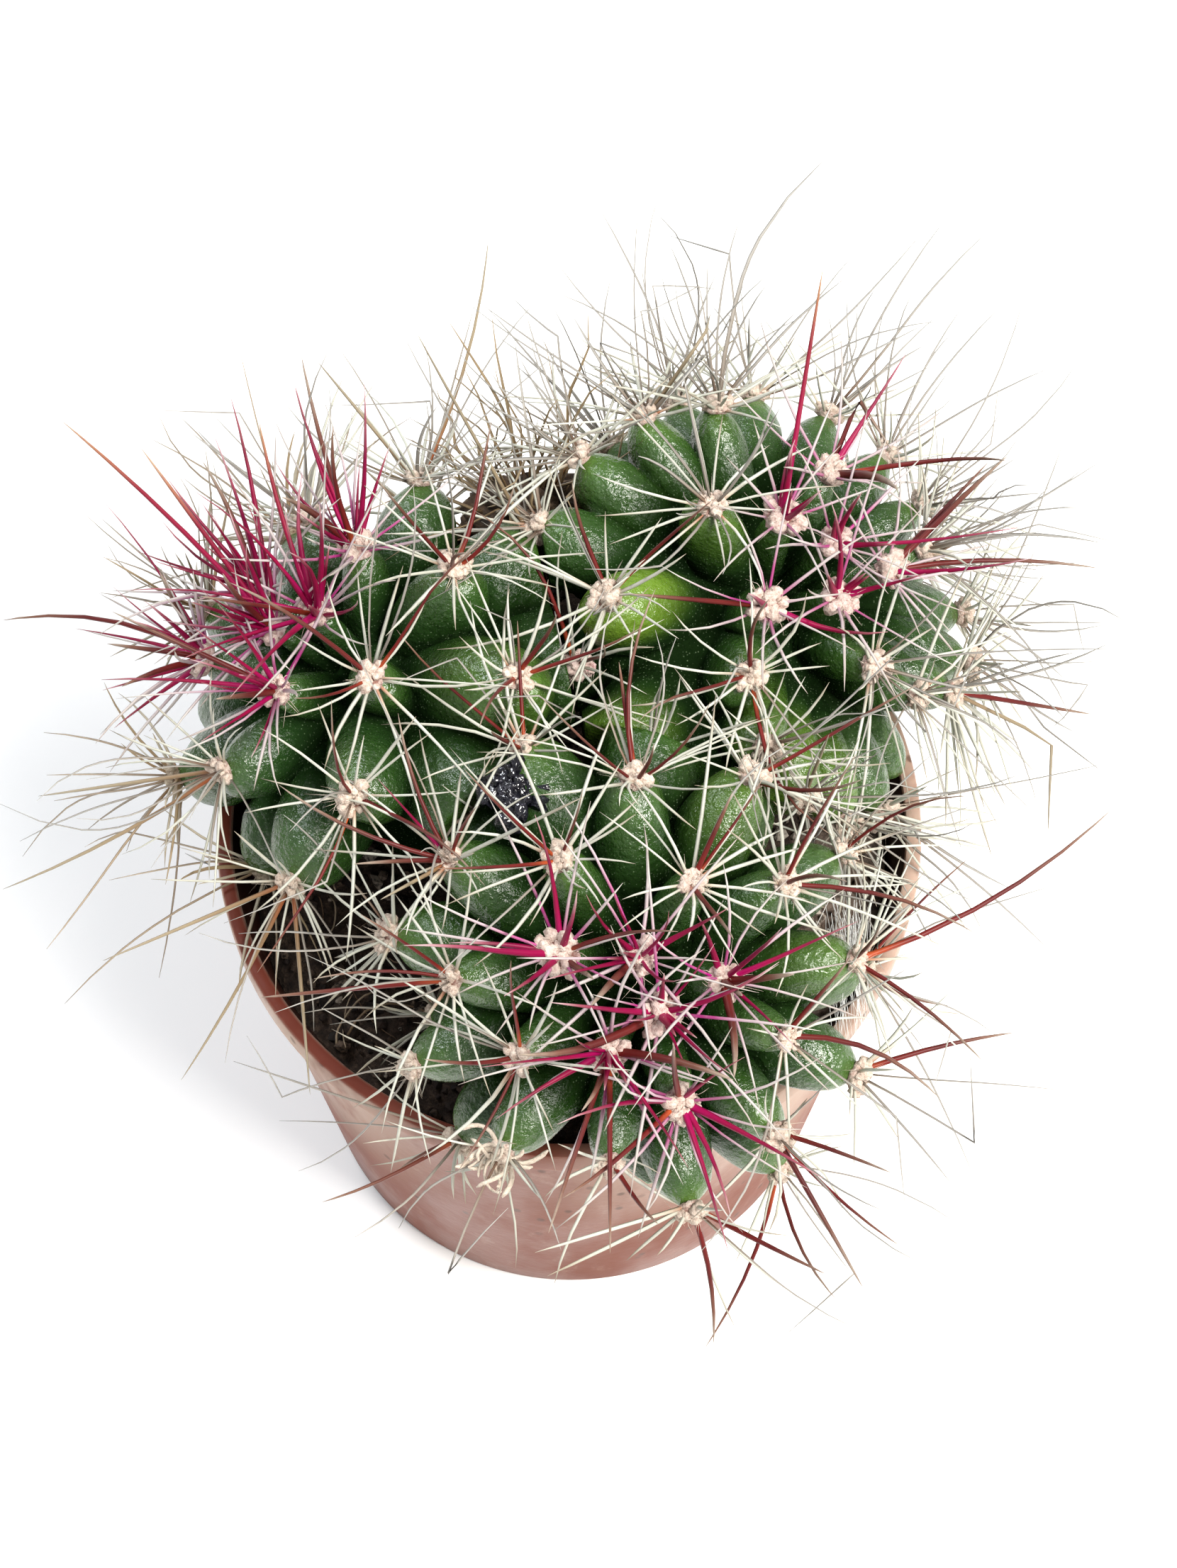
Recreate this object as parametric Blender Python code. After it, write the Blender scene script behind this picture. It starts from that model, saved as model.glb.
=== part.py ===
"""Potted barrel cactus: three spiny heads crowding a small round plastic pot.

Metres, +Z up. The origin is the middle of the pot's flat base, and the plant's front faces -Y.
"""
import math
from typing import NamedTuple

import bmesh
import bpy
import numpy as np
from mathutils import Vector

# Pot: a thin moulded cup that widens to a low collar round its rim
RIM_RADIUS = 0.0350
POT_HEIGHT = 0.0620
FOOT_RADIUS = 0.0275
WALL = 0.0011
COLLAR_HEIGHT = 0.0040
COLLAR_STEP = 0.0010
COLLAR_THICKNESS = 0.0016
EDGE_ROUND = 0.0005
FLOOR_THICKNESS = 0.0012
FOOT_LIFT = 0.0008
FOOT_WIDTH = 0.0030
CENTRE_PAD_RADIUS = 0.0090
FLOOR_FILLET = 0.0020
DRAIN_COUNT = 6
DRAIN_RADIUS = 0.0018
DRAIN_CIRCLE = 0.0170
DRAIN_SIDES = 10
POT_SIDES = 40

# Soil: fills the pot to a little under the rim, a touch higher on the right
SOIL_LEVEL = 0.0545
SOIL_SLOPE = 0.045
SOIL_ROUGHNESS = 0.0006
SOIL_RINGS = 6
SOIL_SIDES = 36

# Clearance between neighbouring pieces that touch on the real plant
GAP = 0.0003
MERGE_DISTANCE = 0.000001

# Heads: tubercles in a Fibonacci spiral round a short ellipsoid, on a neck that enters the soil
SKIN_DETAIL = 6
SKIN_REACH = 1.3
SKIN_FACES = 1500
VALLEY_DEPTH = 0.37
TUBERCLE_SPREAD_DOWN = 1.25
TUBERCLE_SPREAD_UP = 0.95
TUBERCLE_SPREAD_SIDE = 0.92
TUBERCLE_TAPER = 0.36
TUBERCLE_FALL = 0.56
CREASE_SHARPNESS = 12.0
LOWEST_AREOLE = -0.50
MOST_AREOLES = 60
BASE_FADE_START = math.radians(30)
BASE_FADE_END = math.radians(80)
BASE_TUBERCLES = 0.30
CROWDED_FILL = 0.45
CROWDED_BULGE = 0.12
CROWDED_SIDE = (0.3, 1.0)
NECK_RADIUS = 0.0100
SOIL_CLEARANCE = 0.0024
RIM_CLEARANCE = 0.0020

# Stems below the neck stand in plain tapered holes in the soil
STEM_TOP_RADIUS = 0.0090
STEM_TIP_RADIUS = 0.0072
STEM_DEPTH = 0.0160
STEM_SIDES = 20

# Spines: fine radials in a star round each areole, and a long central or two
YOUNG_AREOLES = 6
SPINE_SIDES = 3
SPINE_TAPER = 0.75
SPINE_ROOT_DEPTH = 0.0020
SPINE_ROOT_OFFSET = 0.0004
AREOLE_TURN_UP = 0.22
RADIAL_RADIUS = 0.00024
RADIAL_LENGTH = (0.0090, 0.0145)
RADIAL_LIFT = (14, 32)
RADIALS_PER_AREOLE = 4
STAR_SCATTER = 7
CENTRAL_RADIUS = 0.00034
CENTRAL_LENGTH = (0.0110, 0.0180)
CENTRAL_LIFT = (40, 75)
CENTRAL_BOW = 0.08
YOUNG_RADIUS = 0.00030
YOUNG_LENGTH = (0.0080, 0.0150)
YOUNG_LIFT = (35, 80)
YOUNG_PER_AREOLE = 4
LEADER_RADIUS = 0.00042
LEADER_PIECES = 3
SPINE_CLEARANCE = 0.0006
TEST_POINTS = 14
BEND_TRIES = 8
BEND_STEP = 0.22
ESCAPE_RISE = 0.6
SKIN_EXIT = 0.0040
SQUEEZED = 0.88
LOWEST_SPINE = 0.0300


class Leader(NamedTuple):
    """A long central spine that gives the plant its outline.

    place counts its areole from the growing tip. turn goes round the areole from straight down
    the head and lift rises from the areole's plane, in degrees. bow is the sideways sag at
    mid length, as a share of the length.
    """
    place: int
    turn: float
    lift: float
    length: float
    bow: float


class Head(NamedTuple):
    """One stem: where its body sits, how it leans, and the law of its areole spiral.

    The spiral's places in bare grew no tubercle.
    """
    name: str
    centre: tuple
    lean: tuple
    girth: float
    rise: float
    foot: tuple
    cap_share: float
    cap_power: float
    first_turn: float
    turn_step: float
    seed: int
    leaders: tuple
    bare: tuple


LEFT_LEADERS = (
    Leader(12, -30, 51, 0.0310, -0.04), Leader(4, -70, 44, 0.0200, 0.02), Leader(12, -120, 45, 0.0159, 0),
    Leader(0, 90, 45, 0.0287, -0.02), Leader(0, 103, 44, 0.0216, 0), Leader(1, -102, 46, 0.0192, 0.03),
    Leader(16, -9, 44, 0.0205, 0), Leader(16, 45, 45, 0.0226, 0.02), Leader(16, 102, 45, 0.0196, 0),
    Leader(8, 48, 45, 0.0250, 0.03), Leader(5, 29, 46, 0.0245, -0.08), Leader(8, 76, 45, 0.0186, 0),
    Leader(3, 132, 46, 0.0175, 0), Leader(17, -163, 30, 0.0248, 0.03),
)
RIGHT_LEADERS = (
    Leader(15, 63, 46, 0.0262, 0.06), Leader(2, 57, 45, 0.0242, 0), Leader(3, 1, 45, 0.0209, 0.05),
    Leader(16, -41, 46, 0.0172, 0), Leader(16, 10, 44, 0.0186, 0.18), Leader(5, 136, 44, 0.0195, 0.25),
    Leader(4, 38, 26, 0.0160, 0),
)
FRONT_LEADERS = (
    Leader(16, -31, 45, 0.0286, -0.07), Leader(13, 20, 46, 0.0170, 0), Leader(18, 4, 46, 0.0146, 0.05),
    Leader(18, -103, 44, 0.0148, -0.05), Leader(12, -14, 44, 0.0178, 0), Leader(8, 6, 45, 0.0151, 0.12),
    Leader(21, -52, 44, 0.0160, 0.05), Leader(2, -16, 46, 0.0188, 0), Leader(2, -40, 44, 0.0196, 0),
    Leader(14, -8, 43, 0.0112, 0), Leader(6, 0, 47, 0.0096, 0),
)

HEADS = (
    Head("head_left", (-0.0188, 0.0096, 0.0723), (-34, 8), 0.0227, 0.0150, (-0.0138, 0.0072),
         0.007, 1.70, 214, 137.6, 11, LEFT_LEADERS, ()),
    Head("head_right", (0.0176, 0.0175, 0.0730), (28, -2), 0.0240, 0.0155, (0.0112, 0.0112),
         0.008, 1.415, 67, -140.6, 23, RIGHT_LEADERS, (10, 12, 22, 35)),
    Head("head_front", (0.0062, -0.0214, 0.0740), (3, -28), 0.0232, 0.0172, (0.0043, -0.0150),
         0.008, 1.49, 321, 138.0, 37, FRONT_LEADERS, (23,)),
)


def clear_scene():
    """Remove every object that the scene starts with."""
    for thing in list(bpy.data.objects):
        bpy.data.objects.remove(thing, do_unlink=True)


def make_material(name, colour, roughness):
    """A plain dielectric of one colour."""
    material = bpy.data.materials.new(name)
    material.use_nodes = True
    shader = material.node_tree.nodes["Principled BSDF"]
    shader.inputs["Base Color"].default_value = (*colour, 1)
    shader.inputs["Roughness"].default_value = roughness
    shader.inputs["Metallic"].default_value = 0
    return material


def add_object(name, bm, material, smooth_angle=None):
    """Turn a bmesh into a scene object with its material."""
    mesh = bpy.data.meshes.new(name)
    bm.to_mesh(mesh)
    bm.free()
    if smooth_angle is not None:
        mesh.shade_smooth()
        mesh.set_sharp_from_angle(angle=math.radians(smooth_angle))
    if material is not None:
        mesh.materials.append(material)
    thing = bpy.data.objects.new(name, mesh)
    bpy.context.scene.collection.objects.link(thing)
    return thing


def turned_body(profile, sides):
    """Closed body of revolution about Z from a profile whose ends lie on the axis."""
    bm = bmesh.new()
    points = [bm.verts.new((radius, 0, height)) for radius, height in profile]
    edges = [bm.edges.new(pair) for pair in zip(points, points[1:])]
    bmesh.ops.spin(bm, geom=points + edges, cent=(0, 0, 0), axis=(0, 0, 1),
                   angle=2 * math.pi, steps=sides, use_merge=True)
    bmesh.ops.remove_doubles(bm, verts=bm.verts, dist=MERGE_DISTANCE)
    bmesh.ops.recalc_face_normals(bm, faces=bm.faces)
    return bm


def as_cutter(thing):
    """Show a cutting shape as wire only."""
    thing.display_type = 'WIRE'
    thing.hide_render = True
    return thing


def cut(target, cutter):
    """Subtract the cutter from the target."""
    modifier = target.modifiers.new("cut_" + cutter.name, 'BOOLEAN')
    modifier.operation = 'DIFFERENCE'
    modifier.object = cutter


def outer_radius(height):
    """Outside of the pot's body below its collar."""
    top = RIM_RADIUS - COLLAR_STEP
    return FOOT_RADIUS + (top - FOOT_RADIUS) * height / POT_HEIGHT


def inner_radius(height):
    """Inside of the pot's wall."""
    return outer_radius(height) - WALL


def pot_profile():
    """Section of the pot from the middle of its base, round the wall, to the middle of its floor."""
    collar_foot = POT_HEIGHT - COLLAR_HEIGHT
    floor_top = FOOT_LIFT + FLOOR_THICKNESS
    collar_inside = RIM_RADIUS - COLLAR_THICKNESS
    return [
        (0, 0),
        (CENTRE_PAD_RADIUS, 0),
        (CENTRE_PAD_RADIUS + FOOT_LIFT, FOOT_LIFT),
        (FOOT_RADIUS - FOOT_WIDTH - FOOT_LIFT, FOOT_LIFT),
        (FOOT_RADIUS - FOOT_WIDTH, 0),
        (FOOT_RADIUS - EDGE_ROUND, 0),
        (outer_radius(EDGE_ROUND), EDGE_ROUND),
        (outer_radius(collar_foot - COLLAR_STEP), collar_foot - COLLAR_STEP),
        (RIM_RADIUS - EDGE_ROUND / 2, collar_foot),
        (RIM_RADIUS, POT_HEIGHT - EDGE_ROUND),
        (RIM_RADIUS - EDGE_ROUND, POT_HEIGHT),
        (collar_inside + EDGE_ROUND, POT_HEIGHT),
        (collar_inside, POT_HEIGHT - EDGE_ROUND),
        (inner_radius(collar_foot), collar_foot),
        (inner_radius(floor_top + FLOOR_FILLET), floor_top + FLOOR_FILLET),
        (inner_radius(floor_top) - FLOOR_FILLET, floor_top),
        (0, floor_top),
    ]


def make_pot():
    """Moulded cup with a ring of drain holes through the raised part of its floor."""
    plastic = make_material("pot_plastic", (0.62, 0.36, 0.29), 0.5)
    pot = add_object("pot", turned_body(pot_profile(), POT_SIDES), plastic, 35)
    for index in range(DRAIN_COUNT):
        angle = 2 * math.pi * index / DRAIN_COUNT
        bm = bmesh.new()
        bmesh.ops.create_cone(bm, cap_ends=True, segments=DRAIN_SIDES, radius1=DRAIN_RADIUS,
                              radius2=DRAIN_RADIUS, depth=4 * FLOOR_THICKNESS)
        place = Vector((DRAIN_CIRCLE * math.cos(angle), DRAIN_CIRCLE * math.sin(angle), FLOOR_THICKNESS))
        bmesh.ops.translate(bm, verts=bm.verts, vec=place)
        cut(pot, as_cutter(add_object(f"drain_{index}", bm, None)))
    return pot


def soil_surface(x, y):
    """Height of the soil's uneven top."""
    ripple = math.sin(x * 430 + 1.3) * math.cos(y * 370) + 0.7 * math.sin(x * 190 - y * 260)
    return SOIL_LEVEL + SOIL_SLOPE * x + SOIL_ROUGHNESS * ripple


def make_soil():
    """Fill of potting mix, clear of the pot all round, with a plain hole for each stem."""
    grit = make_material("soil", (0.055, 0.035, 0.025), 0.95)
    bottom = FOOT_LIFT + FLOOR_THICKNESS + GAP
    edge = inner_radius(SOIL_LEVEL) - GAP
    profile = [(0, bottom), (inner_radius(bottom) - FLOOR_FILLET - GAP, bottom),
               (inner_radius(bottom + FLOOR_FILLET) - GAP, bottom + FLOOR_FILLET)]
    profile += [(edge * step / SOIL_RINGS, SOIL_LEVEL) for step in range(SOIL_RINGS, -1, -1)]
    bm = turned_body(profile, SOIL_SIDES)
    for vert in bm.verts:
        if vert.co.z > SOIL_LEVEL - GAP:
            vert.co.z = soil_surface(vert.co.x, vert.co.y)
            reach = (inner_radius(vert.co.z) - GAP) / edge
            vert.co.x *= reach
            vert.co.y *= reach
    soil = add_object("soil", bm, grit, 50)
    for head in HEADS:
        hole = as_cutter(add_object("hole_" + head.name, stem_cone(head, GAP), None))
        cut(soil, hole)
    return soil


def stem_cone(head, growth):
    """Stem below the neck, or its hole when grown by a clearance. Its top stands clear of the soil."""
    bm = bmesh.new()
    top = SOIL_LEVEL + 2 * SOIL_CLEARANCE
    bottom = SOIL_LEVEL - STEM_DEPTH - growth
    slope = (STEM_TOP_RADIUS - STEM_TIP_RADIUS) / (STEM_DEPTH + 2 * SOIL_CLEARANCE)
    bmesh.ops.create_cone(bm, cap_ends=True, segments=STEM_SIDES,
                          radius1=STEM_TIP_RADIUS + growth - slope * growth,
                          radius2=STEM_TOP_RADIUS + growth, depth=top - bottom)
    bmesh.ops.translate(bm, verts=bm.verts, vec=(*head.foot, (top + bottom) / 2))
    return bm


def head_axes(head):
    """The head's own frame as rows: two sideways directions and the growing axis."""
    across = [math.sin(math.radians(angle)) for angle in head.lean]
    axis = Vector((*across, math.sqrt(1 - across[0] ** 2 - across[1] ** 2)))
    side = Vector((0, 1, 0)).cross(axis).normalized()
    return np.array([side, axis.cross(side), axis])


def head_areoles(head):
    """Areole rays, their size as an angle, and the ways down and along the girth at each."""
    places = np.arange(MOST_AREOLES) + 0.5
    height = 1 - head.cap_share * places ** head.cap_power
    places = places[height > LOWEST_AREOLE]
    height = height[height > LOWEST_AREOLE]
    turn = np.radians(head.first_turn + (places - 0.5) * head.turn_step)
    round_about = np.stack([np.cos(turn), np.sin(turn)], axis=1)
    width = np.sqrt(1 - height ** 2)[:, None]
    spots = np.column_stack([head.girth * width * round_about, head.rise * height])
    rays = spots / np.linalg.norm(spots, axis=1)[:, None]
    down = np.column_stack([height[:, None] * round_about, -width])
    down -= rays * (down * rays).sum(axis=1)[:, None]
    down /= np.linalg.norm(down, axis=1)[:, None]
    size = np.sqrt(2 * head.cap_share * head.cap_power * places ** (head.cap_power - 1))
    axes = head_axes(head)
    return rays @ axes, size, down @ axes, np.cross(down, rays) @ axes


def tubercle_height(head, rays):
    """Height of the tubercles along each ray, from 0 in a deep valley to 1 at an areole."""
    areoles, size, down, along = head_areoles(head)
    offset = rays[:, None, :] - areoles[None]
    fall = (offset * down).sum(axis=2)
    spread = np.where(fall > 0, TUBERCLE_SPREAD_DOWN, TUBERCLE_SPREAD_UP)
    girth = (offset * along).sum(axis=2) / TUBERCLE_SPREAD_SIDE
    distance = np.sqrt((fall / spread) ** 2 + girth ** 2) / size
    facing = (rays @ areoles.T) > 0
    bump = np.clip(1 - TUBERCLE_TAPER * distance - TUBERCLE_FALL * distance ** 2, 0, 1) * facing
    bump[:, list(head.bare)] = 0
    return np.log(1 + np.expm1(CREASE_SHARPNESS * bump).sum(axis=1)) / CREASE_SHARPNESS


def smooth_step(value, low, high):
    """Rise smoothly from 0 at low to 1 at high."""
    share = np.clip((value - low) / (high - low), 0, 1)
    return share * share * (3 - 2 * share)


def neighbour_limit(head, rays):
    """Distance along each ray to the planes where this head presses against the others."""
    limit = np.full(len(rays), np.inf)
    centre = np.array(head.centre)
    for other in HEADS:
        if other is head:
            continue
        away = np.array(other.centre) - centre
        spacing = np.linalg.norm(away)
        share = head.girth / (head.girth + other.girth)
        facing = rays @ away / spacing
        reach = (share * spacing - GAP) / np.maximum(facing, 1e-6)
        limit = np.where(facing > 0, np.minimum(limit, reach), limit)
    return limit


def pot_limit(head, rays):
    """Distance along each ray to the rim of the pot, where the ray passes over or inside it."""
    x, y, z = head.centre
    falling = np.minimum(rays[:, 2], -1e-9)
    to_rim_level = (POT_HEIGHT + RIM_CLEARANCE - z) / falling
    to_soil_level = (SOIL_LEVEL + SOIL_CLEARANCE - z) / falling
    flat = rays[:, :2]
    speed = np.maximum((flat ** 2).sum(axis=1), 1e-12)
    drift = flat @ np.array([x, y])
    inside = inner_radius(SOIL_LEVEL) - RIM_CLEARANCE
    to_wall = (np.sqrt(drift ** 2 + speed * (inside ** 2 - x ** 2 - y ** 2)) - drift) / speed
    limit = np.minimum(np.maximum(to_rim_level, to_wall), to_soil_level)
    return np.where(rays[:, 2] < 0, limit, np.inf)


def skin_radius(head, rays):
    """Distance from the head's centre to its skin along unit rays."""
    rise = rays @ head_axes(head)[2]
    smooth = 1 / np.sqrt((1 - rise ** 2) / head.girth ** 2 + rise ** 2 / head.rise ** 2)
    foot = np.array([*head.foot, SOIL_LEVEL]) - np.array(head.centre)
    sink = np.clip(rays @ foot / np.linalg.norm(foot), -1, 1)
    lean = np.arccos(sink)
    relief = BASE_TUBERCLES + (1 - BASE_TUBERCLES) * smooth_step(lean, BASE_FADE_START, BASE_FADE_END)
    inward = -np.array([*head.centre[:2], 0]) / math.hypot(*head.centre[:2])
    crowd = smooth_step(rays @ inward, *CROWDED_SIDE)
    depth = VALLEY_DEPTH * (1 - CROWDED_FILL * crowd)
    full = smooth * (1 + CROWDED_BULGE * crowd)
    body = full * (1 - depth * (1 - relief * tubercle_height(head, rays)))
    neck = np.where(sink > 0, NECK_RADIUS / np.maximum(np.sin(lean), 1e-6), 0)
    free = np.maximum(body, neck)
    return np.minimum(np.minimum(free, neighbour_limit(head, rays)), pot_limit(head, rays))


def make_skin(head, material):
    """Tubercled body of one head, thinned to the faces that its shape needs."""
    bm = bmesh.new()
    bmesh.ops.create_icosphere(bm, subdivisions=SKIN_DETAIL, radius=1)
    rays = np.array([vert.co.normalized() for vert in bm.verts])
    for vert, ray, radius in zip(bm.verts, rays, skin_radius(head, rays)):
        vert.co = Vector(head.centre) + Vector(ray) * radius
    share = SKIN_FACES / len(bm.faces)
    skin = add_object(head.name, bm, material, 40)
    thin = skin.modifiers.new("thin", 'DECIMATE')
    thin.ratio = share
    return skin


def segment_gaps(start, end, starts, ends):
    """Shortest distance from one straight piece to each of many."""
    run, runs = end - start, ends - starts
    between = start - starts
    own = run @ run
    theirs = (runs ** 2).sum(axis=1)
    cross = runs @ run
    lead = between @ run
    trail = (runs * between).sum(axis=1)
    spread = np.maximum(own * theirs - cross ** 2, 1e-18)
    here = np.clip((cross * trail - lead * theirs) / spread, 0, 1)
    there = np.clip((cross * here + trail) / theirs, 0, 1)
    here = np.clip((cross * there - lead) / own, 0, 1)
    gaps = between + here[:, None] * run - there[:, None] * runs
    return np.linalg.norm(gaps, axis=1)


class Thicket:
    """The spines placed so far, kept so that the next ones stay clear of them."""

    def __init__(self):
        self.pieces = []

    def add(self, head, path):
        """Remember a spine of this head."""
        for start, end in zip(path, path[1:]):
            self.pieces.append((head.name, start, end))

    def clears(self, head, path):
        """Whether a new spine passes clear of the spines of the other heads."""
        others = [piece for piece in self.pieces if piece[0] != head.name]
        if not others:
            return True
        starts = np.array([piece[1] for piece in others])
        ends = np.array([piece[2] for piece in others])
        return all(segment_gaps(start, end, starts, ends).min() > 2 * SPINE_CLEARANCE
                   for start, end in zip(path, path[1:]))


def clear_of_skin(head, points):
    """Whether points lie outside a head's skin by the spines' clearance."""
    offset = points - np.array(head.centre)
    distance = np.linalg.norm(offset, axis=1)
    near = distance < SKIN_REACH * head.girth
    if not near.any():
        return True
    rays = offset[near] / distance[near, None]
    return (distance[near] - skin_radius(head, rays) > SPINE_CLEARANCE).all()


def clear_of_pot(points):
    """Whether points lie clear of the pot's wall, its rim and the soil."""
    radius = np.linalg.norm(points[:, :2], axis=1)
    height = points[:, 2]
    over_rim = height > POT_HEIGHT + SPINE_CLEARANCE
    beside = (radius > RIM_RADIUS + SPINE_CLEARANCE) & (height > LOWEST_SPINE)
    within = radius < inner_radius(SOIL_LEVEL) - SPINE_CLEARANCE
    over_soil = height > SOIL_LEVEL + 2 * SOIL_CLEARANCE
    return (over_rim | beside | within & over_soil).all()


def spine_path(root, normal, out, length, bow, pieces):
    """Points of a spine from below the skin to its tip, bowed sideways at mid length."""
    start = root - normal * SPINE_ROOT_DEPTH + out * SPINE_ROOT_OFFSET
    side = np.cross(normal, out)
    side /= np.linalg.norm(side)
    shares = np.arange(1, pieces + 1)[:, None] / pieces
    sag = 4 * shares * (1 - shares) * bow
    return np.vstack([start, root + length * (shares * out + sag * side)])


def fits(head, path, thicket):
    """Whether a spine clears the bodies, the pot and the other heads' spines."""
    shares = np.linspace(0, 1, TEST_POINTS)[:, None]
    points = np.vstack([start + (end - start) * shares for start, end in zip(path, path[1:])])
    travel = np.linalg.norm(points - path[0], axis=1)
    outer = points[travel > SKIN_EXIT]
    if not clear_of_pot(outer) or not clear_of_skin(head, outer):
        return False
    if not all(clear_of_skin(other, points) for other in HEADS if other is not head):
        return False
    return thicket.clears(head, path)


def areole_spines(head, place):
    """Draw one areole's spines as tuples of turn, lift, length, bow, pieces and thickness."""
    draw = np.random.default_rng((head.seed, place))
    for leader in head.leaders:
        if leader.place == place:
            yield (*leader[1:], LEADER_PIECES, LEADER_RADIUS)
    first = draw.uniform(0, 360)
    if place < YOUNG_AREOLES:
        kinds = [(YOUNG_LIFT, YOUNG_LENGTH, 0, YOUNG_RADIUS)] * YOUNG_PER_AREOLE
    else:
        kinds = [(RADIAL_LIFT, RADIAL_LENGTH, 0, RADIAL_RADIUS)] * RADIALS_PER_AREOLE
        kinds.append((CENTRAL_LIFT, CENTRAL_LENGTH, CENTRAL_BOW, CENTRAL_RADIUS))
    for index, (lift, length, bow, radius) in enumerate(kinds):
        turn = first + 360 * index / len(kinds) + draw.normal(0, STAR_SCATTER)
        pieces = 2 if bow else 1
        yield turn, draw.uniform(*lift), draw.uniform(*length), bow * draw.uniform(-1, 1), pieces, radius


def grow_spines(head, thicket):
    """Paths and thicknesses of the spines of one head, each bent clear of its surroundings."""
    areoles, _, down, along = head_areoles(head)
    reach = skin_radius(head, areoles)
    axis = head_axes(head)[2]
    rise = areoles @ axis
    whole = 1 / np.sqrt((1 - rise ** 2) / head.girth ** 2 + rise ** 2 / head.rise ** 2)
    spines = []
    grown = np.setdiff1d(np.flatnonzero(reach > SQUEEZED * whole), head.bare)
    for place in grown:
        ray = areoles[place]
        root = np.array(head.centre) + ray * reach[place]
        normal = ray + AREOLE_TURN_UP * axis
        normal /= np.linalg.norm(normal)
        fall = down[place] - normal * (down[place] @ normal)
        fall /= np.linalg.norm(fall)
        cross = np.cross(fall, normal)
        escape = normal + np.array([0, 0, ESCAPE_RISE])
        for turn, lift, length, bow, pieces, radius in areole_spines(head, place):
            turn, lift = math.radians(turn), math.radians(lift)
            flat = math.cos(turn) * fall + math.sin(turn) * cross
            way = math.cos(lift) * flat + math.sin(lift) * normal
            for attempt in range(BEND_TRIES):
                out = way + attempt * BEND_STEP * escape
                out /= np.linalg.norm(out)
                path = spine_path(root, normal, out, length, bow, pieces)
                if fits(head, path, thicket):
                    thicket.add(head, path)
                    spines.append((path, radius))
                    break
    return spines


def needle(path, radius, name, collection):
    """Tapered three-sided needle along a path, sharp at its tip."""
    bm = bmesh.new()
    ring = None
    lengths = np.concatenate([[0], np.cumsum(np.linalg.norm(np.diff(path, axis=0), axis=1))])
    way = Vector(path[-1] - path[0]).normalized()
    side = way.orthogonal().normalized()
    other = way.cross(side)
    for point, share in zip(path[:-1], lengths / lengths[-1]):
        width = radius * (1 - SPINE_TAPER * share)
        angles = [2 * math.pi * index / SPINE_SIDES for index in range(SPINE_SIDES)]
        corners = [side * (width * math.cos(angle)) + other * (width * math.sin(angle)) for angle in angles]
        verts = [bm.verts.new(Vector(point) + corner) for corner in corners]
        if ring is None:
            bm.faces.new(verts)
        else:
            for index in range(SPINE_SIDES):
                after = (index + 1) % SPINE_SIDES
                bm.faces.new((ring[index], ring[after], verts[after], verts[index]))
        ring = verts
    tip = bm.verts.new(Vector(path[-1]))
    for index in range(SPINE_SIDES):
        bm.faces.new((ring[index], ring[(index + 1) % SPINE_SIDES], tip))
    bmesh.ops.triangulate(bm, faces=bm.faces)
    bmesh.ops.recalc_face_normals(bm, faces=bm.faces)
    mesh = bpy.data.meshes.new(name)
    bm.to_mesh(mesh)
    bm.free()
    collection.objects.link(bpy.data.objects.new(name, mesh))


def fuse(target, collection):
    """Join the collection's bodies to the target in one union, then remove them."""
    union = target.modifiers.new("fuse", 'BOOLEAN')
    union.operation = 'UNION'
    union.solver = 'MANIFOLD'
    union.operand_type = 'COLLECTION'
    union.collection = collection
    evaluated = target.evaluated_get(bpy.context.evaluated_depsgraph_get())
    fused = bpy.data.meshes.new_from_object(evaluated)
    target.modifiers.clear()
    target.data = fused
    for thing in list(collection.objects):
        bpy.data.objects.remove(thing, do_unlink=True)
    bpy.data.collections.remove(collection)


def make_head(head, thicket, material):
    """One stem with its spines, fused into a single body."""
    skin = make_skin(head, material)
    parts = bpy.data.collections.new("parts_of_" + head.name)
    bpy.context.scene.collection.children.link(parts)
    stem = bpy.data.meshes.new("stem")
    bm = stem_cone(head, 0)
    bm.to_mesh(stem)
    bm.free()
    parts.objects.link(bpy.data.objects.new("stem", stem))
    for number, (path, radius) in enumerate(grow_spines(head, thicket)):
        needle(path, radius, f"spine_{number}", parts)
    fuse(skin, parts)
    return skin


def build():
    """Pot, soil and the three heads."""
    clear_scene()
    make_pot()
    make_soil()
    flesh = make_material("cactus", (0.05, 0.16, 0.06), 0.4)
    thicket = Thicket()
    for head in HEADS:
        make_head(head, thicket, flesh)


build()
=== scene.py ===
"""Potted barrel cactus: three spiny heads crowding a small plastic pot that has aged on a sill."""
import math
from typing import NamedTuple

import bpy
import numpy as np
from mathutils import Matrix, Vector, noise


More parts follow.
